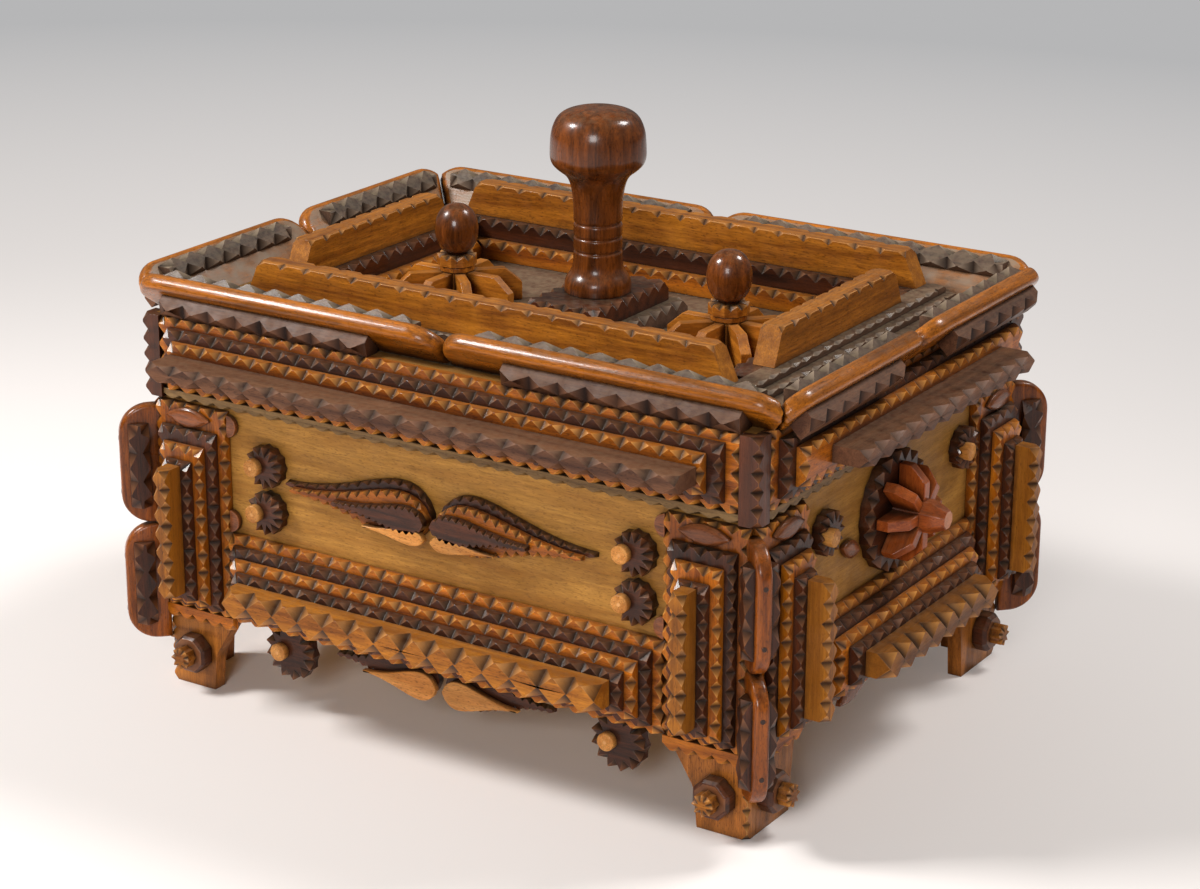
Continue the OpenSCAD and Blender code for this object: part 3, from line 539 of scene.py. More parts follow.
    def mesh(self, name: str) -> bpy.types.Mesh:
        """Makes everything added into one mesh in metres.

        Args:
            name: Name of the mesh.

        Returns:
            The mesh, with its grain, tone, valley and cut attributes.
        """
        mesh = bpy.data.meshes.new(name)
        points = np.concatenate(self.points) * MM
        loops = np.concatenate(self.loops)
        sizes = np.concatenate(self.sizes)
        mesh.vertices.add(len(points))
        mesh.vertices.foreach_set("co", points.ravel())
        mesh.loops.add(len(loops))
        mesh.loops.foreach_set("vertex_index", loops)
        mesh.polygons.add(len(sizes))
        mesh.polygons.foreach_set("loop_start", np.concatenate([[0], np.cumsum(sizes)[:-1]]))
        mesh.polygons.foreach_set("loop_total", sizes)
        mesh.polygons.foreach_set("use_smooth", np.ones(len(sizes), bool))
        mesh.update(calc_edges=True)
        grain = mesh.attributes.new("grain", "FLOAT_VECTOR", "POINT")
        grain.data.foreach_set("vector", np.concatenate(self.grain).ravel())
        for kind, domain, values in (("tone", "POINT", self.tone), ("valley", "POINT", self.valley),
                                     ("cut", "FACE", self.cut)):
            told = mesh.attributes.new(kind, "FLOAT", domain)
            told.data.foreach_set("value", np.concatenate(values))
        mesh.validate()
        return mesh


# Finishes


def linear(code: str) -> tuple[float, float, float, float]:
    """Turns a colour into linear light with the standard curve.

    Args:
        code: sRGB hex colour.

    Returns:
        Red, green, blue and an alpha of 1.
    """
    value = np.array([int(code[i:i + 2], 16) for i in (1, 3, 5)]) / 255
    value = np.where(value <= 0.04045, value / 12.92, ((value + 0.055) / 1.055) ** 2.4)
    return (float(value[0]), float(value[1]), float(value[2]), 1.0)


def add(tree: bpy.types.NodeTree, kind: str, settings: dict[str, Any] | None = None,
        inputs: dict[Any, Any] | None = None) -> bpy.types.Node:
    """Adds a node with its settings and links.

    Args:
        tree: Node tree to add to.
        kind: Blender's name of the node type.
        settings: Properties of the node.
        inputs: Sockets by name or number, each a constant, a socket, or a node whose first
            live output is meant.

    Returns:
        The new node.
    """
    new = tree.nodes.new(kind)
    for name, value in (settings or {}).items():
        setattr(new, name, value)
    for name, value in (inputs or {}).items():
        socket = new.inputs[name] if isinstance(name, int) else next(
            s for s in new.inputs if s.enabled and s.name == name)
        if isinstance(value, bpy.types.Node):
            value = next(s for s in value.outputs if s.enabled)
        if isinstance(value, bpy.types.NodeSocket):
            tree.links.new(value, socket)
        else:
            socket.default_value = value
    return new


class Grain(Enum):
    """Where a finish finds the direction of the grain."""

    CARVED = "the piece's own grain attribute, in millimetres"
    ALONG_X = (0.0, 0.0, 0.0)
    ALONG_Y = (0.0, 0.0, -90.0)

    def spot(self, tree: bpy.types.NodeTree) -> bpy.types.NodeSocket | bpy.types.Node:
        """Finds the place in millimetres with the grain along its X.

        Args:
            tree: Node tree to add to.

        Returns:
            The attribute's vector, or a node that scales and turns Object coordinates.
        """
        if self is Grain.CARVED:
            return add(tree, "ShaderNodeAttribute", {"attribute_name": "grain"}).outputs["Vector"]
        return add(tree, "ShaderNodeMapping", {}, {
            "Vector": add(tree, "ShaderNodeTexCoord").outputs["Object"],
            "Rotation": tuple(math.radians(v) for v in self.value),
            "Scale": (1 / MM, 1 / MM, 1 / MM)})


@dataclass(frozen=True)
class WoodFinish:
    """Old cigar-box cedar, knife cut or turned, under stain, shellac, wax and dust, with painted
    shade and sheen.

    Light and dark are early and late wood, cut is the paler wood that the knife lays bare,
    figure is the width of the growth bands in millimetres, and the rest are shares of one.
    The painted shade darkens the notches and hollows, and dust with painted sheen greys the
    faces that look up.
    """

    name: str
    light: str
    dark: str
    cut: str
    roughness: float = 0.42
    shellac: float = 0.25
    # Share of dust and painted sheen on faces that look up
    dust_and_sheen: float = 0.16
    dust_and_sheen_tint: str = "#8c7a60"
    # Strength of the painted shade in the notches and hollows
    painted_shade: float = 0.9
    figure: float = 5.0
    fibre: float = 0.34
    relief: float = 0.35

    def paint(self, grain: Grain) -> bpy.types.Material:
        """Makes the finish's material.

        Args:
            grain: Where the grain's direction comes from.

        Returns:
            A material whose eye-catching parts are, from the wood outwards: slow bands of early
            and late wood, fine fibres, dark pores, paler knife cuts, rubbed arrises, painted shade
            in the notches and hollows, and dust with painted sheen where the wood faces up.
        """
        material = bpy.data.materials.new(f"{self.name}_{grain.name.lower()}")
        material.use_nodes = True
        tree = material.node_tree
        tree.nodes.clear()
        spot = grain.spot(tree)

        # Noise by its size in millimetres along and across the grain, then its detail,
        # roughness and bend. Real fibres and pores are half as coarse and wouldn't show.
        noise = {
            name: add(tree, "ShaderNodeTexNoise", {}, {
                "Vector": add(tree, "ShaderNodeMapping", {}, {
                    "Vector": spot, "Scale": tuple(1 / v for v in size)}),
                "Scale": 1.0, "Detail": detail, "Roughness": rough, "Distortion": bend})
            for name, size, detail, rough, bend in (
                ("growth", (80.0, self.figure, self.figure), 4.0, 0.6, 0.8),
                ("fibre", (7.0, 0.55, 0.8), 3.0, 0.65, 0.0),
                ("pore", (1.6, 0.4, 0.4), 1.0, 0.5, 0.0),
                ("patch", (6.25, 6.25, 6.25), 2.0, 0.5, 0.0),
                ("drift", (1 / 0.45, 1 / 0.45, 1 / 0.45), 4.0, 0.5, 0.0))}
        told = {name: add(tree, "ShaderNodeAttribute", {"attribute_name": name}).outputs["Fac"]
                for name in ("tone", "cut", "valley")}
        form = add(tree, "ShaderNodeNewGeometry")
        upward = add(tree, "ShaderNodeSeparateXYZ", {}, {
            "Vector": form.outputs["Normal"]}).outputs["Z"]
        # Ambient occlusion, which paints shade into the hollows
        open_sky = add(tree, "ShaderNodeAmbientOcclusion", {"samples": 6}, {"Distance": 0.006})
        # Cut faces deep in a notch, which get painted shade in the valleys
        notch_shade_mask = add(tree, "ShaderNodeMath", {"operation": "MULTIPLY"}, {
            0: told["cut"], 1: told["valley"]})

        # Each value is carried from its own range to the one that a layer wants
        drawn = {
            name: add(tree, "ShaderNodeMapRange", {}, {
                "Value": value, "From Min": low, "From Max": high, "To Min": least, "To Max": most})
            for name, value, low, high, least, most in (
                ("growth", noise["growth"], 0.35, 0.65, 0.0, 1.0),
                ("fibre", noise["fibre"], 0.3, 0.7, 1.0 - self.fibre, 1.0 + self.fibre),
                ("pore", noise["pore"], 0.58, 0.72, 0.0, 0.6),
                ("tone", told["tone"], -3.0, 1.0, 0.44, 1.16),
                ("bare", noise["patch"], 0.3, 0.7, 0.35, 0.95),
                # Painted shade down in the notch valleys
                ("painted_notch_shade", notch_shade_mask, 0.1, 0.95, 0.0, self.painted_shade),
                ("rubbed", form.outputs["Pointiness"], 0.53, 0.62, 0.0, 0.4),
                # Painted shade in the hollows, from ambient occlusion
                ("painted_hollow_shade", open_sky.outputs["AO"], 0.82, 0.3, 0.0, self.painted_shade),
                # Dust and painted sheen on faces that look up
                ("facing", upward, 0.2, 0.9, 0.0, self.dust_and_sheen),
                ("drift", noise["drift"], 0.3, 0.62, 0.0, 1.0),
                ("gloss", noise["patch"], 0.3, 0.7, self.roughness - 0.08, self.roughness + 0.1))}
        bare, dust_and_sheen_share = (add(tree, "ShaderNodeMath", {"operation": "MULTIPLY"}, {0: first, 1: second})
                       for first, second in ((told["cut"], drawn["bare"]),
                                             (drawn["facing"], drawn["drift"])))

        colour: Any = linear(self.light)
        for blend, share, over in (
                ("MIX", drawn["growth"], linear(self.dark)),
                ("MULTIPLY", 1.0, drawn["fibre"]),
                ("MULTIPLY", drawn["pore"], linear("#6b5242")),
                ("MULTIPLY", 1.0, drawn["tone"]),
                ("MIX", bare, linear(self.cut)),
                # Painted shade in the notch valleys
                ("MULTIPLY", drawn["painted_notch_shade"], linear("#331a0e")),
                ("SCREEN", drawn["rubbed"], linear(self.light)),
                # Painted shade in the hollows
                ("MULTIPLY", drawn["painted_hollow_shade"], linear("#2c170d")),
                # Dust and painted sheen where the wood faces up
                ("MIX", dust_and_sheen_share, linear(self.dust_and_sheen_tint))):
            colour = add(tree, "ShaderNodeMix", {"data_type": "RGBA", "blend_type": blend}, {
                "Factor": share, "A": colour, "B": over})

        # Gloss is uneven, and the fibres stand up a few hundredths of a millimetre
        bump = add(tree, "ShaderNodeBump", {}, {
            "Strength": self.relief, "Distance": 0.0003,
            "Height": add(tree, "ShaderNodeMath", {"operation": "ADD"}, {
                0: noise["fibre"], 1: noise["patch"]})})
        shader = add(tree, "ShaderNodeBsdfPrincipled", {}, {
            "Base Color": colour, "Roughness": drawn["gloss"], "Normal": bump,
            "Specular IOR Level": 0.24, "Coat Weight": self.shellac, "Coat Roughness": 0.12})
        add(tree, "ShaderNodeOutputMaterial", {}, {"Surface": shader})
        return material


FINISHES = {
    # Bare field: calm golden brown, a broad quiet figure under thin dull shellac
    "field_wood": WoodFinish("planed_cedar_shellacked", "#a87432", "#7c4c18", "#b98a48", 0.5, 0.03,
                             figure=7.0, fibre=0.3, painted_shade=0.5),
    # Inside: pale and dry, never finished
    "inner_wood": WoodFinish("planed_cedar_bare", "#c79c66", "#a87c49", "#cda877", 0.65, 0.0),
    # Feet: sawn, warm brown, a little gloss
    "foot_wood": WoodFinish("sawn_cedar_shellacked", "#ad6624", "#74400f", "#cc9450", 0.4, 0.15),
    # Light carved strips: orange under shellac, paler on the fresh cuts
    "amber_wood": WoodFinish("carved_cedar_orange_shellac", "#b8640f", "#6e3204", "#de9644",
                             0.42, 0.2),
    # Dark carved strips: red-brown stain that the knife went through
    "dark_wood": WoodFinish("carved_cedar_dark_stain", "#502610", "#281208", "#855432", 0.4, 0.22),
    # Bold bars: brown shellac worn nearly dull
    "bar_wood": WoodFinish("carved_cedar_brown_shellac", "#a4621a", "#6c380a", "#cc8c4a",
                           0.44, 0.08),
    # Cornice bars: matt purple-brown with a film of dust, and painted sheen where they face up
    "cornice_bar_wood": WoodFinish("carved_walnut_waxed", "#6b452e", "#46291c", "#7c523a", 0.5, 0.0,
                                   dust_and_sheen=0.3, dust_and_sheen_tint="#866a50"),
    # Toothed band under the lid: olive brown
    "band_wood": WoodFinish("carved_cedar_olive", "#7f6038", "#5c4022", "#8f7045", 0.5, 0.1),
    # Lens chips: smooth and shiny, reddish brown
    "polished_chip_wood": WoodFinish("polished_rosewood_chip", "#8e4f28", "#5f3014", "#a0643a",
                                     0.3, 0.35, relief=0.12),
    # Corner ears: rubbed glossy by hands, tight figure
    "ear_wood": WoodFinish("rubbed_cedar_board", "#984e0e", "#5c2804", "#be7228", 0.32, 0.3,
                           figure=3.5),
    # Pegs and lobes: pale end grain
    "peg_wood": WoodFinish("end_grain_dowel", "#d6944c", "#b87330", "#dca468", 0.45, 0.1,
                           fibre=0.2),
    # Rosette: split red cedar, glossy on its facets
    "rosette_wood": WoodFinish("split_red_cedar", "#9c4a1a", "#69290c", "#c47a48", 0.36, 0.3),
    # Rim: bright orange bullnose, with a bare inner face, grey with dust
    "rim_wood": WoodFinish("rubbed_cedar_rim", "#bb6a18", "#7a420a", "#96806a", 0.3, 0.3,
                           figure=3.5),
    # Strips and deck that catch the dust: grey film over brown, greyer with dust and painted sheen
    # where they face up
    "dusty_wood": WoodFinish("dusty_carved_cedar", "#5f4636", "#3f2d22", "#a08c78", 0.5, 0.05,
                             dust_and_sheen=0.42),
    # Knob and balls: turned, deep brown, the glossiest wood of the box
    "turned_wood": WoodFinish("turned_walnut_polished", "#7c4016", "#4e260c", "#8a5632", 0.27, 0.35,
                              figure=4.0, relief=0.15),
    # Finials' boards: split, orange brown
    "finial_wood": WoodFinish("split_cedar_shellacked", "#b0671c", "#783d08", "#cf8f48", 0.44, 0.1),
}


# Pieces


def put(name: str, data: Any) -> bpy.types.Object:
    """Makes an object and links it into the scene.

    Args:
        name: Name of the object.
        data: Its mesh, lamp or camera.

    Returns:
        The object, at the origin.
    """
    made = bpy.data.objects.new(name, data)
    bpy.context.scene.collection.objects.link(made)
    return made


@dataclass
class SubAssembly:
    """Group of boards that are made and dressed together."""

    paints: ClassVar[dict[tuple[str, Grain], bpy.types.Material]] = {}
    seed: int = 1

    def shell(self) -> Shell:
        """Returns a new shell with its own seed."""
        self.seed += 17
        return Shell(self.seed)

    def shells(self, count: int) -> Iterator[Shell]:
        """Yields that many new shells."""
        return (self.shell() for _ in range(count))

    def paint(self, slot: str, grain: Grain) -> bpy.types.Material:
        """Finds the finish of a slot, made once for each way of finding the grain.

        Args:
            slot: Material slot.
            grain: Where the grain's direction comes from.

        Returns:
            The material.
        """
        key = (slot, grain)
        if key not in self.paints:
            self.paints[key] = FINISHES[slot].paint(grain)
        return self.paints[key]

    def slot_of(self, node: str) -> str:
        """Returns the record's material slot of a CAD node, which its own material is named for."""
        return frame["nodes"][node].data.materials[0].name.split(".")[0]

    def piece(self, node: str, shell: Shell, bevel: float = 0.22, slot: str | None = None,
              name: str | None = None) -> bpy.types.Object:
        """Turns a shell into a piece.

        Args:
            node: CAD node that the piece replaces, or goes with where it has its own name.
            shell: Boards of the piece.
            bevel: Width of the worn arrises.
            slot: Material slot, where it isn't the node's.
            name: Name of a piece that is added to the node.

        Returns:
            The object, riding on the node's body.
        """
        slot = slot or self.slot_of(node)
        made = put(name or f"{node}_carved", shell.mesh(name or node))
        made.data.materials.append(self.paint(slot, Grain.CARVED))
        if bevel:
            worn = made.modifiers.new("worn_arrises", "BEVEL")
            worn.width = bevel * MM
            worn.segments = 1
            worn.limit_method = "ANGLE"
            worn.angle_limit = math.radians(28)
            worn.harden_normals = True
        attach(made, frame["nodes"][node]["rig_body"])
        if not name:
            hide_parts(node)
        return made

    def build(self) -> Iterator[bpy.types.Object]:
        """Yields every piece of the group, in order."""
        raise NotImplementedError


@dataclass
class PlainBoards(SubAssembly):
    """Planed boards of the case and the lid, whose CAD shape is right as it is."""

    long_grain: tuple[str, ...] = ("front_panel", "back_panel", "floor_board", "lid_lip",
                                   "lid_long_walls", "lid_ledge", "lid_deck")
    cross_grain: tuple[str, ...] = ("left_panel", "right_panel", "lid_side_walls")

    def build(self) -> Iterator[bpy.types.Object]:
        """Yields every board with its finish."""
        for nodes, grain in ((self.long_grain, Grain.ALONG_X), (self.cross_grain, Grain.ALONG_Y)):
            for node in nodes:
                kept = frame["nodes"][node]
                slot = self.slot_of(node)
                kept.data.materials.clear()
                kept.data.materials.append(self.paint(slot, grain))
                yield kept


@dataclass
class BaseMoulding(SubAssembly):
    """Four notched strips and a bold bar, stacked to a stepped pyramid on each face."""

    level: float = 52.0
    height: float = 36.0
    step: float = 3.5
    long: Pair = (98.0, 3.5)
    short: Pair = (67.0, 5.5)
    carving: Carving = Carving(PITCH, 2.2)
    bar: float = 10.0
    bar_carving: Carving = Carving(BOLD, 3.0, ends=False, deep=(5.6, 4.8))
    end_tone: float = -2.2

    def build(self) -> Iterator[bpy.types.Object]:
        """Yields four layers and the bars; a layer loses a step at each edge and end."""
        for n in range(4):
            shell = self.shell()
            for side in Side:
                half, loss = side.pick(self.long, self.short)
                shell.strip(side.at(side.wall + n * STRIP, 0, self.level), 2 * (half - n * loss),
                            self.height - 2 * n * self.step, STRIP, self.carving)
            yield self.piece(f"base_layer_{n + 1}", shell)
        shell = self.shell()
        for side in Side:
            half, loss = side.pick(self.long, self.short)
            shell.strip(side.at(side.wall + 4 * STRIP, 0, self.level), 2 * (half - 4 * loss),
                        self.bar, self.bar, self.bar_carving)
            if not side.is_long:
                shell.mark(tone=self.end_tone)
        yield self.piece("base_bars", shell, 0.3)


@dataclass
class Pilasters(SubAssembly):
    """Upright stacks beside each corner, with a polished chip at the top."""

    width: float = 34.0
    thick: float = 3.5
    step: float = 3.6
    low: float = 34.5
    rise: float = 2.6
    tops: tuple[float, ...] = (119.0, 110.0, 104.6, 99.2)
    carving: Carving = Carving(7.0, 1.98)
    bar: Pair = (6.0, 9.0)
    bar_carving: Carving = Carving(PITCH, 1.8, ends=False, deep=(3.0, 2.8))
    bar_short: float = 1.0
    bar_tone: float = -1.2
    chip: Triple = (21.1, 7.6, 1.6)
    chip_level: float = 114.5

    def spots(self) -> Iterator[tuple[Side, float]]:
        """Yields each pilaster's side and its place along that side."""
        for side in Side:
            for sign in (-1, 1):
                yield side, sign * (side.reach - self.width / 2)

    def build(self) -> Iterator[bpy.types.Object]:
        """Yields four layers, each a step narrower and shorter, then the bars and the chips."""
        for n, top in enumerate(self.tops):
            shell = self.shell()
            low = self.low + n * self.rise
            for side, along in self.spots():
                place = side.at(side.wall + n * self.thick, along, (low + top) / 2) @ UPRIGHT
                shell.strip(place, top - low, self.width - 2 * n * self.step, self.thick,
                            self.carving)
            yield self.piece(f"pilaster_layer_{n + 1}", shell)
        bars, chips = self.shells(2)
        low, high = self.low + 4 * self.rise + self.bar_short, self.tops[-1] - self.bar_short
        for side, along in self.spots():
            place = side.at(side.wall + 4 * self.thick, along, (low + high) / 2) @ UPRIGHT
            bars.strip(place, high - low, *self.bar, self.bar_carving)
            bars.mark(tone=self.bar_tone)
            place = side.at(side.wall + self.thick, along, self.chip_level)
            chips.slab(lens(*self.chip[:2]), self.chip[2], place, nose=0.4, crown=0.9)
        yield self.piece("pilaster_bars", bars, 0.3)
        yield self.piece("pilaster_chips", chips, 0)


@dataclass
class CornerEars(SubAssembly):
    """Rounded boards that stand out along each corner's diagonal, two to a corner."""

    out: float = 17.0
    thick: float = 5.5
    height: float = 48.5
    gap: float = 0.5
    foot: float = 19.0
    radius: float = 12.0
    brads: Pair = (13.0, 35.0)
    strip: Triple = (34.0, 8.0, 3.5)
    strip_in: float = 7.5
    carving: Carving = Carving(BOLD, 2.2, deep=(3.1, 3.2))

    def outline(self) -> np.ndarray:
        """Works out the board.

        Returns:
            (n, 2) corners: a straight inner edge and two quarter-round outer corners.
        """
        r, h = self.radius, self.height
        low = circle(r, 12, -90, 90) + (self.out - r, r)
        high = circle(r, 12, 0, 90) + (self.out - r, h - r)
        return np.concatenate([[(0.0, 0.0)], low, high, [(0.0, h)]])

    def build(self) -> Iterator[bpy.types.Object]:
        """Yields the boards, the carved strips on both their faces and the brads."""
        boards, strips, brads = self.shells(3)
        for corner in corners():
            for k in (0, 1):
                low = self.foot + k * (self.height + self.gap)
                boards.slab(self.outline(), self.thick, corner @ shift(0, self.thick / 2, low),
                            nose=1.5, grain_axis=2, steps=5)
                for up in self.brads:
                    brads.brad(corner @ shift(self.out, 0, low + up) @ spin("y", 90))
                for flip in (AS_IS, MIRROR_Y):
                    face = shift(self.out - self.strip_in, -self.thick / 2, low + self.height / 2)
                    strips.strip(corner @ flip @ face @ spin("y", -90), *self.strip, self.carving)
        yield self.piece("ears", boards, 0)
        yield self.piece("ear_strips", strips, 0.25)
        yield self.piece("ears", brads, 0, "turned_wood", "ear_brads")


@dataclass
class Feet(SubAssembly):
    """Tapered boards at each corner, notched up the arris, with a boss and a button."""

    height: float = 34.0
    thick: float = 6.0
    long: Triple = (34.0, 21.0, 12.5)
    short: Triple = (28.0, 24.0, 14.0)
    kink: Pair = (0.45, 1.5)
    pitch: float = 5.7
    cut: float = 1.9
    hem: Triple = (34.0, 5.4, 3.0)
    hem_level: float = 31.6
    hem_carving: Carving = Carving(7.0, 2.0, top=False, ends=False, deep=(2.7, 3.6))
    boss: Pair = (7.5, 6.0)
    boss_chamfer: Pair = (1.2, 1.4)
    boss_level: float = 15.0
    button: Rosace = (4.5, 5.0, 8, 1.6)

    def board_on(self, shell: Shell, place: np.ndarray, corner: float, top: float, low: float,
                 notched: bool) -> None:
        """Adds one foot board.

        Args:
            shell: Shell to add to.
            place: Frame whose Y = 0 is the board's outer face.
            corner: X of the corner side, which is straight.
            top: Width at the case.
            low: Width at the floor.
            notched: True where this board carries the corner's notched arris.

        Each ring is a level of the board: the inner edge runs from low to top with a kink,
        and the corner arris is cut back by the notches.
        """
        x, share = shell.notches(self.height, self.pitch)
        z = x + self.height / 2
        up, wider = self.kink
        width = np.interp(z, [0, up * self.height, self.height], [low, low + wider, top])
        cut = LEAST + self.cut * share * notched
        inner, end, full = corner - width, np.full_like(z, corner), np.full_like(z, self.thick)
        rings = np.stack([np.stack([inner, end, end, end - cut, inner], 1),
                          np.stack([full, full, cut, 0 * z, 0 * z], 1),
                          np.repeat(z[:, None], 5, axis=1)], 2)
        valley = share[:, None] * notched * (0, 0, 1, 1, 0)
        shell.loft(rings, place, cut_sides=(2,), grain_axis=2, valley=valley)

    def build(self) -> Iterator[bpy.types.Object]:
        """Yields the boards, bosses, buttons and the toothed hems under the case."""
        boards, hems, bosses, buttons = self.shells(4)
        radius, proud = self.boss
        r, (drawn, sunk) = radius * TO_CORNER, self.boss_chamfer
        for side, flip in both_ways(Side):
            top, low, spot_in = side.pick(self.long, self.short)
            face = side.at(side.wall) @ flip
            corner = side.pick(HX, HY - self.thick)
            self.board_on(boards, face, corner, top, low, side.is_long)
            hems.strip(face @ shift(side.reach - self.hem[0] / 2, 0, self.hem_level), *self.hem,
                       self.hem_carving)
            spot = side.reach - spot_in
            bosses.lathe((r, r, r - drawn), (0, proud - sunk, proud),
                         face @ shift(spot, 0, self.boss_level) @ spin("x", 90), 8, 22.5)
            buttons.rosace(*self.button, face @ shift(spot, -proud, self.boss_level))
        yield self.piece("feet", boards)
        yield self.piece("foot_bosses", bosses, 0.35)
        yield self.piece("foot_buttons", buttons, 0.15)
        yield self.piece("feet", hems, 0.2, "amber_wood", "foot_hems_carved")


@dataclass
class FieldOrnaments(SubAssembly):
    """Layered scroll in the bare field, and the pegs with notched crescents beside it.

    Each carved layer has its node, its shares of the scroll's length and half height, its rise
    over the scroll's level and the bite of its notches.
    """

    level: float = 95.5
    length: float = 68.0
    half: float = 10.5
    layers: tuple[tuple[str, float, float, float, float], ...] = (
        ("scroll_outer", 1.0, 1.0, 0.6, 1.6),
        ("scroll_middle", 0.94, 0.8, -0.5, 2.2),
        ("scroll_inner", 0.62, 0.42, -0.4, 1.2))
    layer: float = 3.0
    leaf: Pair = (28.0, 2.8)
    leaf_down: float = 0.62
    peg_levels: Pair = (101.0, 82.4)
    peg_along: float = 82.5
    end_peg: Pair = (54.9, 102.0)
    disc: Rosace = (8.6, 5.0, 12, 3.0)
    disc_along: float = 3.5
    chip_levels: Pair = (113.5, 75.0)
    chip_along: float = 98.0
    chip: Pair = (4.5, 2.6)

    def pegs(self) -> Iterator[np.ndarray]:
        """Yields the frame of each peg: two at each end of the field, one in a side's corner."""
        for side in Side:
            for sign in (-1, 1):
                if side.is_long:
                    for level in self.peg_levels:
                        yield side.at(HY, sign * self.peg_along, level)
                else:
                    yield side.at(HX, sign * self.end_peg[0], self.end_peg[1])

    def build(self) -> Iterator[bpy.types.Object]:
        """Yields the scroll's layers from the field outwards, then crescents, pegs and chips."""
        for n, (node, long, tall, rise, bite) in enumerate(self.layers):
            shell = self.shell()
            for side, flip in both_ways(LONG_SIDES):
                shell.wing(side.at(HY + n * self.layer, 0, self.level + rise) @ flip,
                           self.length * long, self.half * tall, bite)
            yield self.piece(node, shell, 0.15)
        leaves, discs, dowels, chips = self.shells(4)
        for side, flip in both_ways(LONG_SIDES):
            down = self.half * self.leaf_down
            leaves.slab(leaf(*self.leaf), self.layer,
                        side.at(HY + 2 * self.layer, 0, self.level - down) @ flip, nose=0.5)
            for level in self.chip_levels:
                place = side.at(HY, 0, level) @ flip @ shift(self.chip_along, 0, 0)
                chips.slab(circle(self.chip[0], 16, 90, 180), self.chip[1], place, nose=0.5)
        for peg in self.pegs():
            discs.rosace(*self.disc, peg @ shift(self.disc_along, 0, 0))
            dowels.dowel(peg)
        yield self.piece("scroll_leaves", leaves, 0)
        yield self.piece("crescents", discs, 0.15)
        yield self.piece("pegs", dowels, 0)
        yield self.piece("half_chips", chips, 0.15)


@dataclass
class ApronOrnaments(SubAssembly):
    """Hanging scroll and pegs under the case, behind the plane of its boards."""

    level: float = 30.0
    set_back: float = 3.0
    wing: Triple = (48.0, 8.0, 1.6)
    lobe: Pair = (34.0, 5.4)
    lobe_down: float = 2.8
    peg: Pair = (75.0, 26.0)
    disc: Rosace = (11.5, 5.0, 13, 3.4)
    disc_along: float = 3.5

    def build(self) -> Iterator[bpy.types.Object]:
        """Yields the notched wings, the smooth lobes before them, and the discs with pegs."""
        wings, lobes, discs, dowels = self.shells(4)
        out = HY - self.set_back
        for side, flip in both_ways(LONG_SIDES):
            wings.wing(side.at(out, 0, self.level) @ flip, *self.wing)
            lobes.slab(leaf(*self.lobe), self.set_back,
                       side.at(HY, 0, self.level - self.lobe_down) @ flip, nose=0.6)
        for side in LONG_SIDES:
            for sign in (-1, 1):
                peg = side.at(out, sign * self.peg[0], self.peg[1])
                discs.rosace(*self.disc, peg @ shift(self.disc_along, 0, 0))
                dowels.dowel(peg)
        yield self.piece("apron_scrolls", wings, 0.15)
        yield self.piece("apron_lobes", lobes, 0, "peg_wood")
        yield self.piece("apron_discs", discs, 0.15)
        yield self.piece("apron_pegs", dowels, 0)


@dataclass
class SideRosette(SubAssembly):
    """Notched ring with eight standing petals round a faceted hub, on each end of the box."""

    level: float = 95.0
    ring: Rosace = (23.5, 5.0, 20, 3.6)
    petal: Pair = (19.0, 11.0)
    petal_slope: Pair = (6.0, 0.45)
    petal_thick: float = 4.2
    hub: float = 12.0
    hub_length: float = 25.0
    hub_taper: Pair = (19.0, 0.58)
    leaf: Triple = (14.0, 7.0, 2.2)
    leaf_at: Triple = (31.5, -6.0, -20.0)
    drop: Triple = (30.0, 12.0, 2.4)
    drop_at: Triple = (18.0, 32.0, 25.0)
    drop_back: float = 3.0

    def build(self) -> Iterator[bpy.types.Object]:
        """Yields the rings, the petals with a sloped outer corner, the hubs and the leaves."""
        rings, petals, hubs, leaves = self.shells(4)
        h, (p, d), (back, start) = self.hub / 2, self.petal, self.petal_slope
        outline = np.array([(h - 1, 0), (p, 0), (p, d * start), (p - back, d), (h - 1, d)])
        r, (shoulder, tip) = h * TO_CORNER, self.hub_taper
        for side in END_SIDES:
            middle = side.at(HX, 0, self.level)
            rings.rosace(*self.ring, middle)
            for i in range(8):
                place = middle @ shift(0, -self.ring[1], 0) @ spin("x", 90) @ spin("z", 45 * i)
                petals.slab(outline, self.petal_thick, place @ shift(0, self.petal_thick / 2, 0))
            hubs.lathe((r, r, r * tip), (0, shoulder, self.hub_length),
                       middle @ spin("x", 90), 8, 22.5)
            for sign in (-1, 1):
                along, up, turn = self.leaf_at
                place = side.at(HX, sign * along, self.level + up) @ spin("y", turn * sign)
                leaves.slab(lens(*self.leaf[:2]), self.leaf[2], place, nose=0.4, crown=0.7)
                along, up, turn = self.drop_at
                place = side.at(HX - self.drop_back, sign * along, up) @ spin("y", turn * sign)
                leaves.slab(lens(*self.drop[:2]), self.drop[2], place, nose=0.5, crown=0.6)
        yield self.piece("rosette_rings", rings, 0.15)
        yield self.piece("rosette_petals", petals, 0.35)
        yield self.piece("rosette_hubs", hubs, 0.3)
        yield self.piece("side_leaves", leaves, 0)


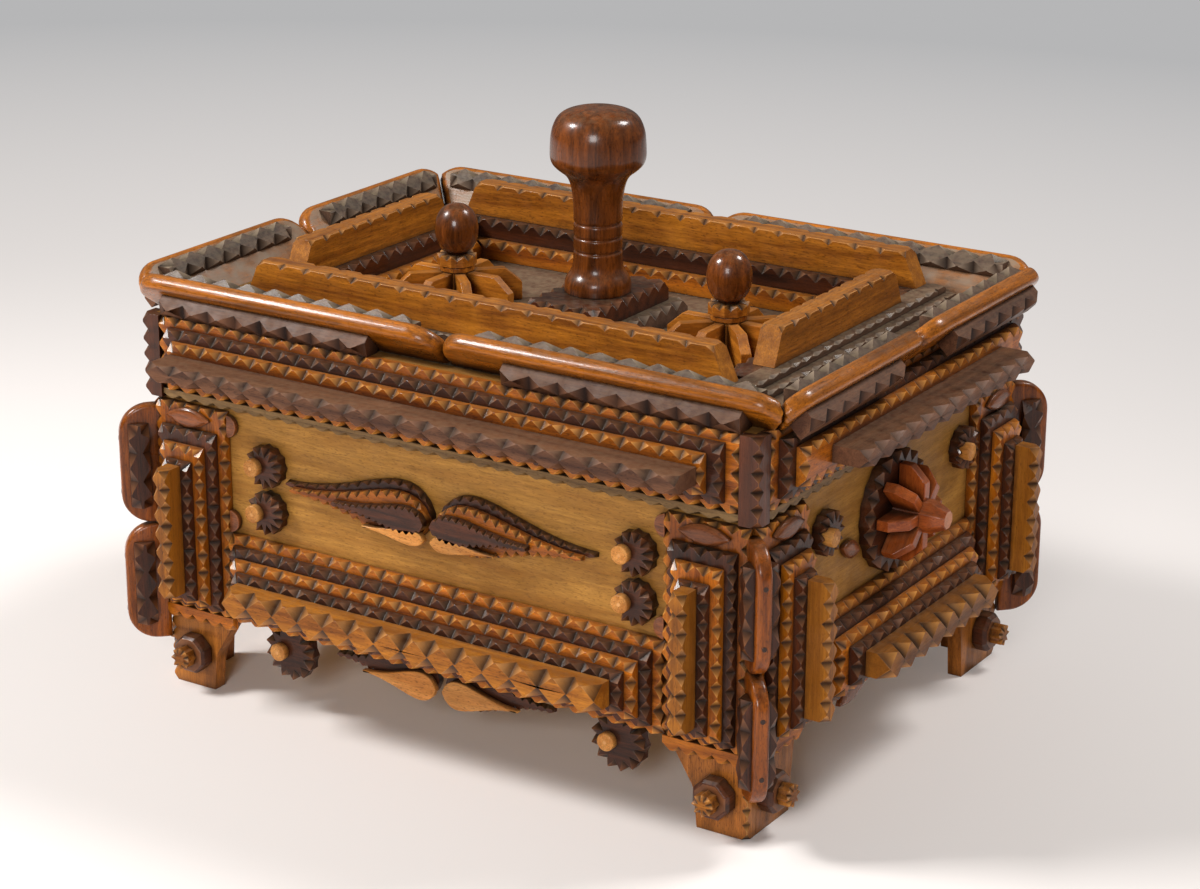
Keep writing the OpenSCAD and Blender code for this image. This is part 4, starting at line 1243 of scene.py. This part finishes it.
@dataclass
class Cornice(SubAssembly):
    """Toothed band, three notched strips and a bold bar round the lid, with corner angles."""

    level: float = 138.5
    height: float = 29.0
    step: float = 3.6
    ends: Pair = (4.0, 5.2)
    carving: Carving = Carving(PITCH, 2.2)
    bar: Pair = (6.5, 14.0)
    bar_half: Pair = (116.0, 68.0)
    bar_carving: Carving = Carving(BOLD, 1.95, ends=False, deep=(3.4, 3.0))
    band: Pair = (3.7, 3.0)
    band_up: float = 2.15
    band_carving: Carving = Carving(PITCH, 2.0, top=False, ends=False, deep=(2.8, 3.0))
    angle_pitch: float = 6.6
    angle_cut: float = 3.0
    clear: float = 0.3

    def angle(self, shell: Shell, corner: np.ndarray) -> None:
        """Adds one corner angle: an L of 4 mm legs whose outer arris is cut back by notches.

        Args:
            shell: Shell to add to.
            corner: Frame of the upright corner.
        """
        height = LEDGE - CASE_TOP - self.clear
        z, share = shell.notches(height, self.angle_pitch)
        c, o, s = LEAST + self.angle_cut * share, np.zeros_like(z), STRIP
        rings = np.stack([np.stack([o - s, s - c, o + s, o + s, o, o, o - s], 1),
                          np.stack([o - s, o - s, c - s, o + s, o + s, o, o], 1),
                          np.repeat(z[:, None], 7, axis=1)], 2)
        place = corner @ shift(0, 0, CASE_TOP + self.clear + height / 2) @ spin("z", 45)
        valley = share[:, None] * (0, 1, 1, 0, 0, 0, 0)
        shell.loft(rings, place, cut_sides=(1,), grain_axis=2, valley=valley)

    def build(self) -> Iterator[bpy.types.Object]:
        """Yields three layers, each a step smaller, then the bars, the band and the angles."""
        for n in range(3):
            shell = self.shell()
            for side in Side:
                shell.strip(side.at(side.wall + n * STRIP, 0, self.level),
                            2 * (side.reach - self.ends[0] - n * self.ends[1]),
                            self.height - 2 * n * self.step, STRIP, self.carving)
            yield self.piece(f"cornice_layer_{n + 1}", shell)
        bars, bands, angles = self.shells(3)
        for side in Side:
            bars.strip(side.at(side.wall + 3 * STRIP, 0, self.level), 2 * side.pick(*self.bar_half),
                       *self.bar, self.bar_carving)
            bands.strip(side.at(side.wall, 0, CASE_TOP + self.band_up),
                        2 * (side.reach - self.ends[0]), *self.band, self.band_carving)
        for corner in corners():
            self.angle(angles, corner)
        yield self.piece("cornice_bars", bars, 0.3)
        yield self.piece("lid_band", bands, 0.15)
        yield self.piece("corner_bars", angles)


@dataclass
class Rim(SubAssembly):
    """Flared boards round the lid, two to a side, with strips on both faces."""

    half_x: float = 148.5
    half_y: float = 105.5
    top: float = 165.0
    radius: float = 12.0
    nose: Pair = (2.6, 3.4)
    gap: float = 0.6
    short: float = 6.0
    inner: Pair = (8.0, 4.0)
    inner_short: float = 6.0
    inner_at: Triple = (-2.0, 6.0, -8.0)
    inner_carving: Carving = Carving(BOLD, 2.6)
    outer: Pair = (9.0, 6.4)
    outer_shares: Pair = (0.53, 0.66)
    outer_at: Pair = (-0.8, -9.5)
    outer_carving: Carving = Carving(BOLD, 2.0, bottom=False, ends=False, deep=(3.4, 5.2))
    brads: Pair = (4.0, 24.0)
    brad_at: Triple = (-0.3, -3.2, 70.0)

    def outline(self, half: float, deep: float, drawn: float) -> np.ndarray:
        """Works out one level of a rim board.

        Args:
            half: Half length of the side.
            deep: Depth of the level into the thickness.
            drawn: How far the rounded edge is drawn in at this level.

        Returns:
            (n, 2) X and slope distance: flat on the ledge, two rounded upper corners, and the
            outer end kept behind the 45 degree mitre.
        """
        r, g = self.radius, self.gap / 2
        base = -(self.top - LEDGE) * math.sqrt(2) - deep
        left = circle(r - drawn, 9, 180, -90) + (g + r, -r)
        right = circle(r - drawn, 9, 90, -90) + (half - g - self.short - r, -r)
        out = np.concatenate([[(g + drawn, base)], left, right, [(half, base)]])
        limit = half - g - drawn - (deep - out[:, 1]) / math.sqrt(2)
        out[:, 0] = np.minimum(out[:, 0], limit)
        return out

    def build(self) -> Iterator[bpy.types.Object]:
        """Yields the boards, whose nose is half an ellipse, their strips and their brads."""
        boards, inner, outer, brads = self.shells(4)
        a = np.linspace(0, math.pi, 13)
        round_in, swell = self.nose
        levels = np.stack([round_in - swell * np.cos(a), round_in * (1 - np.sin(a) ** 0.8)], 1)
        for side, flip in both_ways(Side):
            half, out = side.pick((self.half_x, self.half_y), (self.half_y, self.half_x))
            # X along the side, Z up the slope, Y into the board
            slope = side.at(out, 0, self.top) @ spin("x", 45) @ flip
            rings = [np.insert(self.outline(half, y, d), 1, y, axis=1) for y, d in levels]
            boards.loft(np.array(rings), slope)
            boards.cut[-1][-1] = 1.0  # the inner face never had its shellac
            x, y, z = self.inner_at
            inner.strip(slope @ shift(half / 2 + x, y, z) @ MIRROR_Y,
                        half - 2 * self.radius - self.inner_short, *self.inner,
                        self.inner_carving)
            middle, length = (half * share for share in self.outer_shares)
            outer.strip(slope @ shift(middle, *self.outer_at), length, *self.outer,
                        self.outer_carving)
            y, z, tilt = self.brad_at
            for x in (self.radius + self.brads[0], half - self.brads[1]):
                brads.brad(slope @ shift(x, y, z) @ spin("x", tilt))
        yield self.piece("rim_boards", boards, 0.3)
        yield self.piece("rim_inner_strips", inner, 0.25)
        yield self.piece("rim_outer_strips", outer, 0.25, "cornice_bar_wood")
        yield self.piece("rim_boards", brads, 0, "dark_wood", "rim_brads")


@dataclass
class TrayFrame(SubAssembly):
    """Stepped frame round the sunken deck: two low steps outside, a tall crest, two inside."""

    mid_x: float = 105.5
    mid_y: float = 72.9
    outer_height: float = 2.75
    outer_steps: tuple[Pair, ...] = ((8.5, 12.5), (6.5, 8.5))
    outer_carving: Carving = Carving(PITCH, 1.24, bottom=False, ends=False)
    inner_height: float = 7.75
    inner_steps: Pair = (14.5, 9.5)
    inner_carving: Carving = Carving(PITCH, 2.2, bottom=False, ends=False)
    crest: Triple = (13.8, 9.0, 12.0)
    crest_level: float = 158.5
    crest_out: Pair = (68.4, 101.0)
    crest_length: Pair = (213.0, 98.8)
    crest_cut: float = 1.9
    land: float = 3.1

    def ring(self, shell: Shell, level: float, height: float, thick: Pair, inward: bool) -> None:
        """Adds four strips in a ring.

        Args:
            shell: Shell to add to.
            level: Middle of the strips' height.
            height: Height of the strips.
            thick: Thickness on the long and the short sides, from the crest's middle line.
            inward: True where the carved faces look into the tray.
        """
        carving = self.inner_carving if inward else self.outer_carving
        for side in Side:
            line = side.pick(self.mid_y, self.mid_x)
            half = side.pick(self.mid_x + (0 if inward else thick[1]),
                             self.mid_y - (thick[0] if inward else 0))
            place = side.at(line, 0, level) @ (MIRROR_Y if inward else AS_IS)
            shell.strip(place, 2 * half, height, side.pick(*thick), carving)

    def crest_board(self, shell: Shell, place: np.ndarray, length: float) -> None:
        """Adds a crest board: both upper arrises notched, both ends sloped.

        Args:
            shell: Shell to add to.
            place: Frame of the board's lower outer arris.
            length: Length along the bottom.
        """
        height, thick, slope = self.crest
        x, share = shell.notches(length, BOLD, land=self.land)
        c, o = LEAST + self.crest_cut * share, np.zeros_like(x)
        y = np.stack([o, o - thick, o - thick, c - thick, -c, o], 1)
        z = np.stack([o, o, height - c, o + height, o + height, height - c], 1)
        along = x[:, None] * (1 - slope / length * z / height)
        shell.loft(np.stack([along, y, z], 2), place, cut_sides=(2, 4),
                   valley=share[:, None] * (0, 0, 1, 1, 1, 1))

    def build(self) -> Iterator[bpy.types.Object]:
        """Yields the outer steps, the two inner steps and the crest."""
        outer, low, high, crest = self.shells(4)
        for n, thick in enumerate(self.outer_steps):
            level = LEDGE + (n + 0.5) * self.outer_height
            self.ring(outer, level, self.outer_height, thick, False)
        for n, (shell, thick) in enumerate(zip((low, high), self.inner_steps)):
            level = DECK + (n + 0.5) * self.inner_height
            self.ring(shell, level, self.inner_height, (thick, thick), True)
        for side in Side:
            self.crest_board(crest, side.at(side.pick(*self.crest_out), 0, self.crest_level),
                             side.pick(*self.crest_length))
        yield self.piece("tray_outer_steps", outer)
        yield self.piece("tray_inner_low", low)
        yield self.piece("tray_inner_high", high)
        yield self.piece("tray_crest", crest, 0.35)


@dataclass
class Plinth(SubAssembly):
    """Two stacked blocks under the knob, their upper arrises notched all round."""

    x: float = 4.0
    low: Pair = (43.0, 64.0)
    high: Pair = (32.0, 53.0)
    height: float = 7.75
    carving: Carving = Carving(PITCH, 2.2)

    def build(self) -> Iterator[bpy.types.Object]:
        """Yields the lower block and the upper one."""
        for n, (name, size) in enumerate((("plinth_low", self.low), ("plinth_high", self.high))):
            shell = self.shell()
            place = shift(self.x, 0, DECK + n * self.height) @ spin("x", -90)
            shell.strip(place, *size, self.height, self.carving)
            yield self.piece(name, shell)


@dataclass
class Knob(SubAssembly):
    """Turned handle: flared foot, stem with scribed lines, neck and domed cap."""

    x: float = 4.0
    z: float = 158.5
    height: float = 72.0
    stem: Pair = (12.0, 33.0)
    scribed: Triple = (16.5, 22.0, 27.5)
    scribe: Pair = (0.6, 0.5)
    turning: tuple[Pair, ...] = (
        (12.8, 0.0), (13.0, 0.3), (13.0, 3.2), (12.4, 5.6), (10.2, 8.6), (9.5, 12.0), (9.4, 22.0),
        (9.4, 33.0), (9.8, 38.0), (10.6, 42.5), (12.2, 46.0), (16.0, 48.6), (18.5, 51.5),
        (18.5, 57.5), (17.9, 64.0), (15.0, 69.6), (8.6, 71.9), (1.0, 72.2))

    def profile(self) -> tuple[np.ndarray, np.ndarray]:
        """Works out the turned outline, softened by cutting its corners.

        Returns:
            Radii and heights. Each of three rounds puts two points on every span, a quarter
            of it in from its ends; then the scribed lines are sunk into the stem as narrow
            bell curves.
        """
        points = np.array(self.turning)
        for _ in range(3):
            a, b = points[:-1], points[1:]
            pairs = np.stack([0.75 * a + 0.25 * b, 0.25 * a + 0.75 * b], 1).reshape(-1, 2)
            points = np.concatenate([points[:1], pairs, points[-1:]])
        (low, high), (depth, width) = self.stem, self.scribe
        stem = np.linspace(low, high, 60)
        radius = np.interp(stem, points[:, 1], points[:, 0])
        for line in self.scribed:
            radius -= depth * np.exp(-((stem - line) / width) ** 2)
        below, above = points[points[:, 1] < low], points[points[:, 1] > high]
        points = np.concatenate([below, np.stack([radius, stem], 1), above])
        return points[:, 0], points[:, 1].clip(0, self.height)

    def build(self) -> Iterator[bpy.types.Object]:
        """Yields the knob."""
        shell = self.shell()
        shell.lathe(*self.profile(), shift(self.x, 0, self.z), 72)
        shell.mark(cut=0.0)
        yield self.piece("knob", shell, 0)


@dataclass
class Finials(SubAssembly):
    """Ball on a notched collar, over eight boards that radiate from a post."""

    x: float = 62.5
    top: float = 156.5
    post: float = 12.0
    washer: tuple[Pair, ...] = ((6.6, 0.0), (7.0, 0.3), (7.0, 2.1), (6.6, 2.45))
    neck: tuple[Pair, ...] = ((4.2, 6.6), (4.0, 7.3))
    ball: Pair = (8.7, 10.3)
    ball_up: float = 16.8
    petal: Pair = (26.0, 4.2)
    petal_slope: Pair = (7.0, 6.0)
    collar: Rosace = (8.0, 4.55, 10, 2.2)

    def build(self) -> Iterator[bpy.types.Object]:
        """Yields the posts, the boards with a sloped outer corner, and the balls.

        A ball's radius goes with the cosine of the angle up from its middle, to the power of
        0.82, which makes it a little fuller than an egg.
        """
        posts, petals, balls = self.shells(3)
        r, top, (p, thick) = self.post / 2 * TO_CORNER, self.top, self.petal
        back, down = self.petal_slope
        outline = np.array([(5, DECK), (p, DECK), (p, top - down), (p - back, top), (5, top)])
        a = np.linspace(-0.46 * math.pi, 0.49 * math.pi, 26)[3:]
        width, tall = self.ball
        ball = np.stack([width * np.cos(a) ** 0.82, self.ball_up + tall * np.sin(a)], 1)
        ball = np.concatenate([self.neck, ball])
        washer = np.array(self.washer)
        for sign in (-1, 1):
            middle = shift(sign * self.x, 0, 0)
            posts.lathe((r, r), (DECK, top), middle, 8, 22.5)
            posts.lathe(washer[:, 0], top + washer[:, 1], middle, 40)
            posts.rosace(*self.collar, middle @ shift(0, 0, top + washer[-1, 1]) @ spin("x", -90))
            for i in range(8):
                petals.slab(outline, thick, middle @ spin("z", 45 * i) @ shift(0, thick / 2, 0))
            balls.lathe(ball[:, 0], top + ball[:, 1], middle)
            balls.mark(cut=0.0)
        yield self.piece("finial_posts", posts)
        yield self.piece("finial_petals", petals, 0.4)
        yield self.piece("finial_balls", balls, 0)


@dataclass
class Studio:
    """Pale floor, soft light from the upper left, and the photograph's camera.

    All is in metres. The camera's place and axes come from a fit to the box's corners. Each
    lamp has its name, its place, the side of its square and its power in watts.
    """

    eye: Triple = (0.594795, -0.923537, 0.478589)
    right: Triple = (0.8424104, 0.5388311, 0.0023919)
    up: Triple = (-0.1797243, 0.2767913, 0.9439734)
    back: Triple = (0.5079802, -0.7956429, 0.3300130)
    focal_length: float = 88.547
    lamps: tuple[tuple[str, Triple, float, float], ...] = (
        ("window", (-1.25, -0.85, 1.5), 0.5, 40.0),
        ("behind", (0.9, 1.0, 1.7), 0.5, 24.0),
        ("front", (0.7, -1.9, 0.9), 0.6, 18.0))
    look_at: Triple = (0.0, 0.0, 0.1)
    sky: float = 0.2
    floor_half: float = 9.0
    floor_middle: Pair = (-0.1, -0.25)

    def aim(self, made: bpy.types.Object, axes: Sequence[Any], place: Sequence[float]) -> None:
        """Places a camera or a lamp.

        Args:
            made: Its object.
            axes: Right, up and back.
            place: Place in metres.
        """
        matrix = np.eye(4)
        matrix[:3, :3] = np.array(axes).T
        matrix[:3, 3] = place
        made.matrix_world = Matrix(matrix.tolist())

    def camera(self) -> None:
        """Makes the camera from its three axes and its place."""
        data = bpy.data.cameras.new("view")
        data.lens = self.focal_length
        data.sensor_width = 36.0
        data.clip_end = 50.0
        seen = put("view", data)
        self.aim(seen, (self.right, self.up, self.back), self.eye)
        bpy.context.scene.camera = seen

    def lamp(self, name: str, place: Sequence[float], size: float, power: float) -> None:
        """Makes a square area light that faces the box.

        Args:
            name: Name of the lamp.
            place: Place in metres.
            size: Side of the square, metres.
            power: Power in watts.
        """
        data = bpy.data.lights.new(name, "AREA")
        data.size = size
        data.energy = power
        away = np.array(place) - self.look_at
        away /= np.linalg.norm(away)
        side = np.cross((0, 0, 1), away)
        side /= np.linalg.norm(side)
        self.aim(put(name, data), (side, np.cross(away, side), away), place)

    def paper(self) -> bpy.types.Material:
        """Makes the floor's material.

        Returns:
            Matt paper, near-white round the box and grey far behind it: a painted falloff of light
            in both its colour and its glow. Away from the box's shadow, what the camera sees of it
            glows.
        """
        material = bpy.data.materials.new("paper_sweep_matt")
        material.use_nodes = True
        tree = material.node_tree
        tree.nodes.clear()
        x, y = self.floor_middle
        far = add(tree, "ShaderNodeVectorMath", {"operation": "LENGTH"}, {
            0: add(tree, "ShaderNodeMapping", {}, {
                "Vector": add(tree, "ShaderNodeTexCoord").outputs["Object"],
                "Location": (-x, -y, 0.0)})}).outputs["Value"]
        # Colour and glow grey out with distance from the box: painted falloff of light
        painted_falloff, painted_glow_falloff, lit = (
            add(tree, "ShaderNodeMapRange", {"interpolation_type": kind}, {
                "Value": far, "From Min": near, "From Max": end})
            for kind, near, end in (("SMOOTHSTEP", 0.35, 1.9), ("LINEAR", 0.3, 1.5),
                                    ("SMOOTHSTEP", 0.24, 0.85)))
        tint, glow = (
            add(tree, "ShaderNodeMix", {"data_type": "RGBA"}, {
                "Factor": share, "A": linear(near), "B": linear(end)})
            for share, near, end in ((painted_falloff, "#f2ebe6", "#a4a4a5"), (painted_glow_falloff, "#f7efea", "#b6b6b7")))
        matt = add(tree, "ShaderNodeBsdfPrincipled", {}, {
            "Base Color": tint, "Roughness": 0.9, "Specular IOR Level": 0.1})
        shader = add(tree, "ShaderNodeMixShader", {}, {
            0: add(tree, "ShaderNodeMath", {"operation": "MULTIPLY"}, {
                0: add(tree, "ShaderNodeLightPath").outputs["Is Camera Ray"], 1: lit}),
            1: matt, 2: add(tree, "ShaderNodeEmission", {}, {"Color": glow})})
        add(tree, "ShaderNodeOutputMaterial", {}, {"Surface": shader})
        return material

    def floor(self) -> None:
        """Makes the floor: a flat grid of eight by eight squares."""
        line = np.linspace(-self.floor_half, self.floor_half, 9)
        u, v = np.meshgrid(line, line, indexing="ij")
        points = np.stack([u, v, 0 * u], -1).reshape(-1, 3)
        i, j = np.meshgrid(np.arange(8), np.arange(8), indexing="ij")
        first = (i * 9 + j).ravel()
        faces = np.stack([first, first + 9, first + 10, first + 1], 1)
        mesh = bpy.data.meshes.new("floor")
        mesh.from_pydata(points.tolist(), [], faces.tolist())
        mesh.materials.append(self.paper())
        ground = put("floor", mesh)

    def build(self) -> None:
        """Makes the camera, the lights, the world and the floor."""
        self.camera()
        for lamp in self.lamps:
            self.lamp(*lamp)
        world = bpy.data.worlds.new("studio")
        world.use_nodes = True
        world.node_tree.nodes.clear()
        sky = add(world.node_tree, "ShaderNodeBackground", {}, {
            "Color": linear("#c8cacc"), "Strength": self.sky})
        add(world.node_tree, "ShaderNodeOutputWorld", {}, {"Surface": sky})
        bpy.context.scene.world = world
        self.floor()
        bpy.context.scene.view_settings.view_transform = "Standard"


def main() -> None:
    """Builds the studio and every sub-assembly, and reports each piece."""
    logging.basicConfig(level=logging.INFO, format="%(name)s %(message)s")
    Studio().build()
    groups: list[SubAssembly] = [
        PlainBoards(), BaseMoulding(seed=101), Pilasters(seed=202), CornerEars(seed=303),
        Feet(seed=404), FieldOrnaments(seed=505), ApronOrnaments(seed=606), SideRosette(seed=707),
        Cornice(seed=808), Rim(seed=909), TrayFrame(seed=1010), Plinth(seed=1111), Knob(seed=1212),
        Finials(seed=1313),
    ]
    for group in groups:
        for made in group.build():
            LOG.info("%s: %s, %d faces", type(group).__name__, made.name, len(made.data.polygons))


if __name__ == "__main__":
    main()
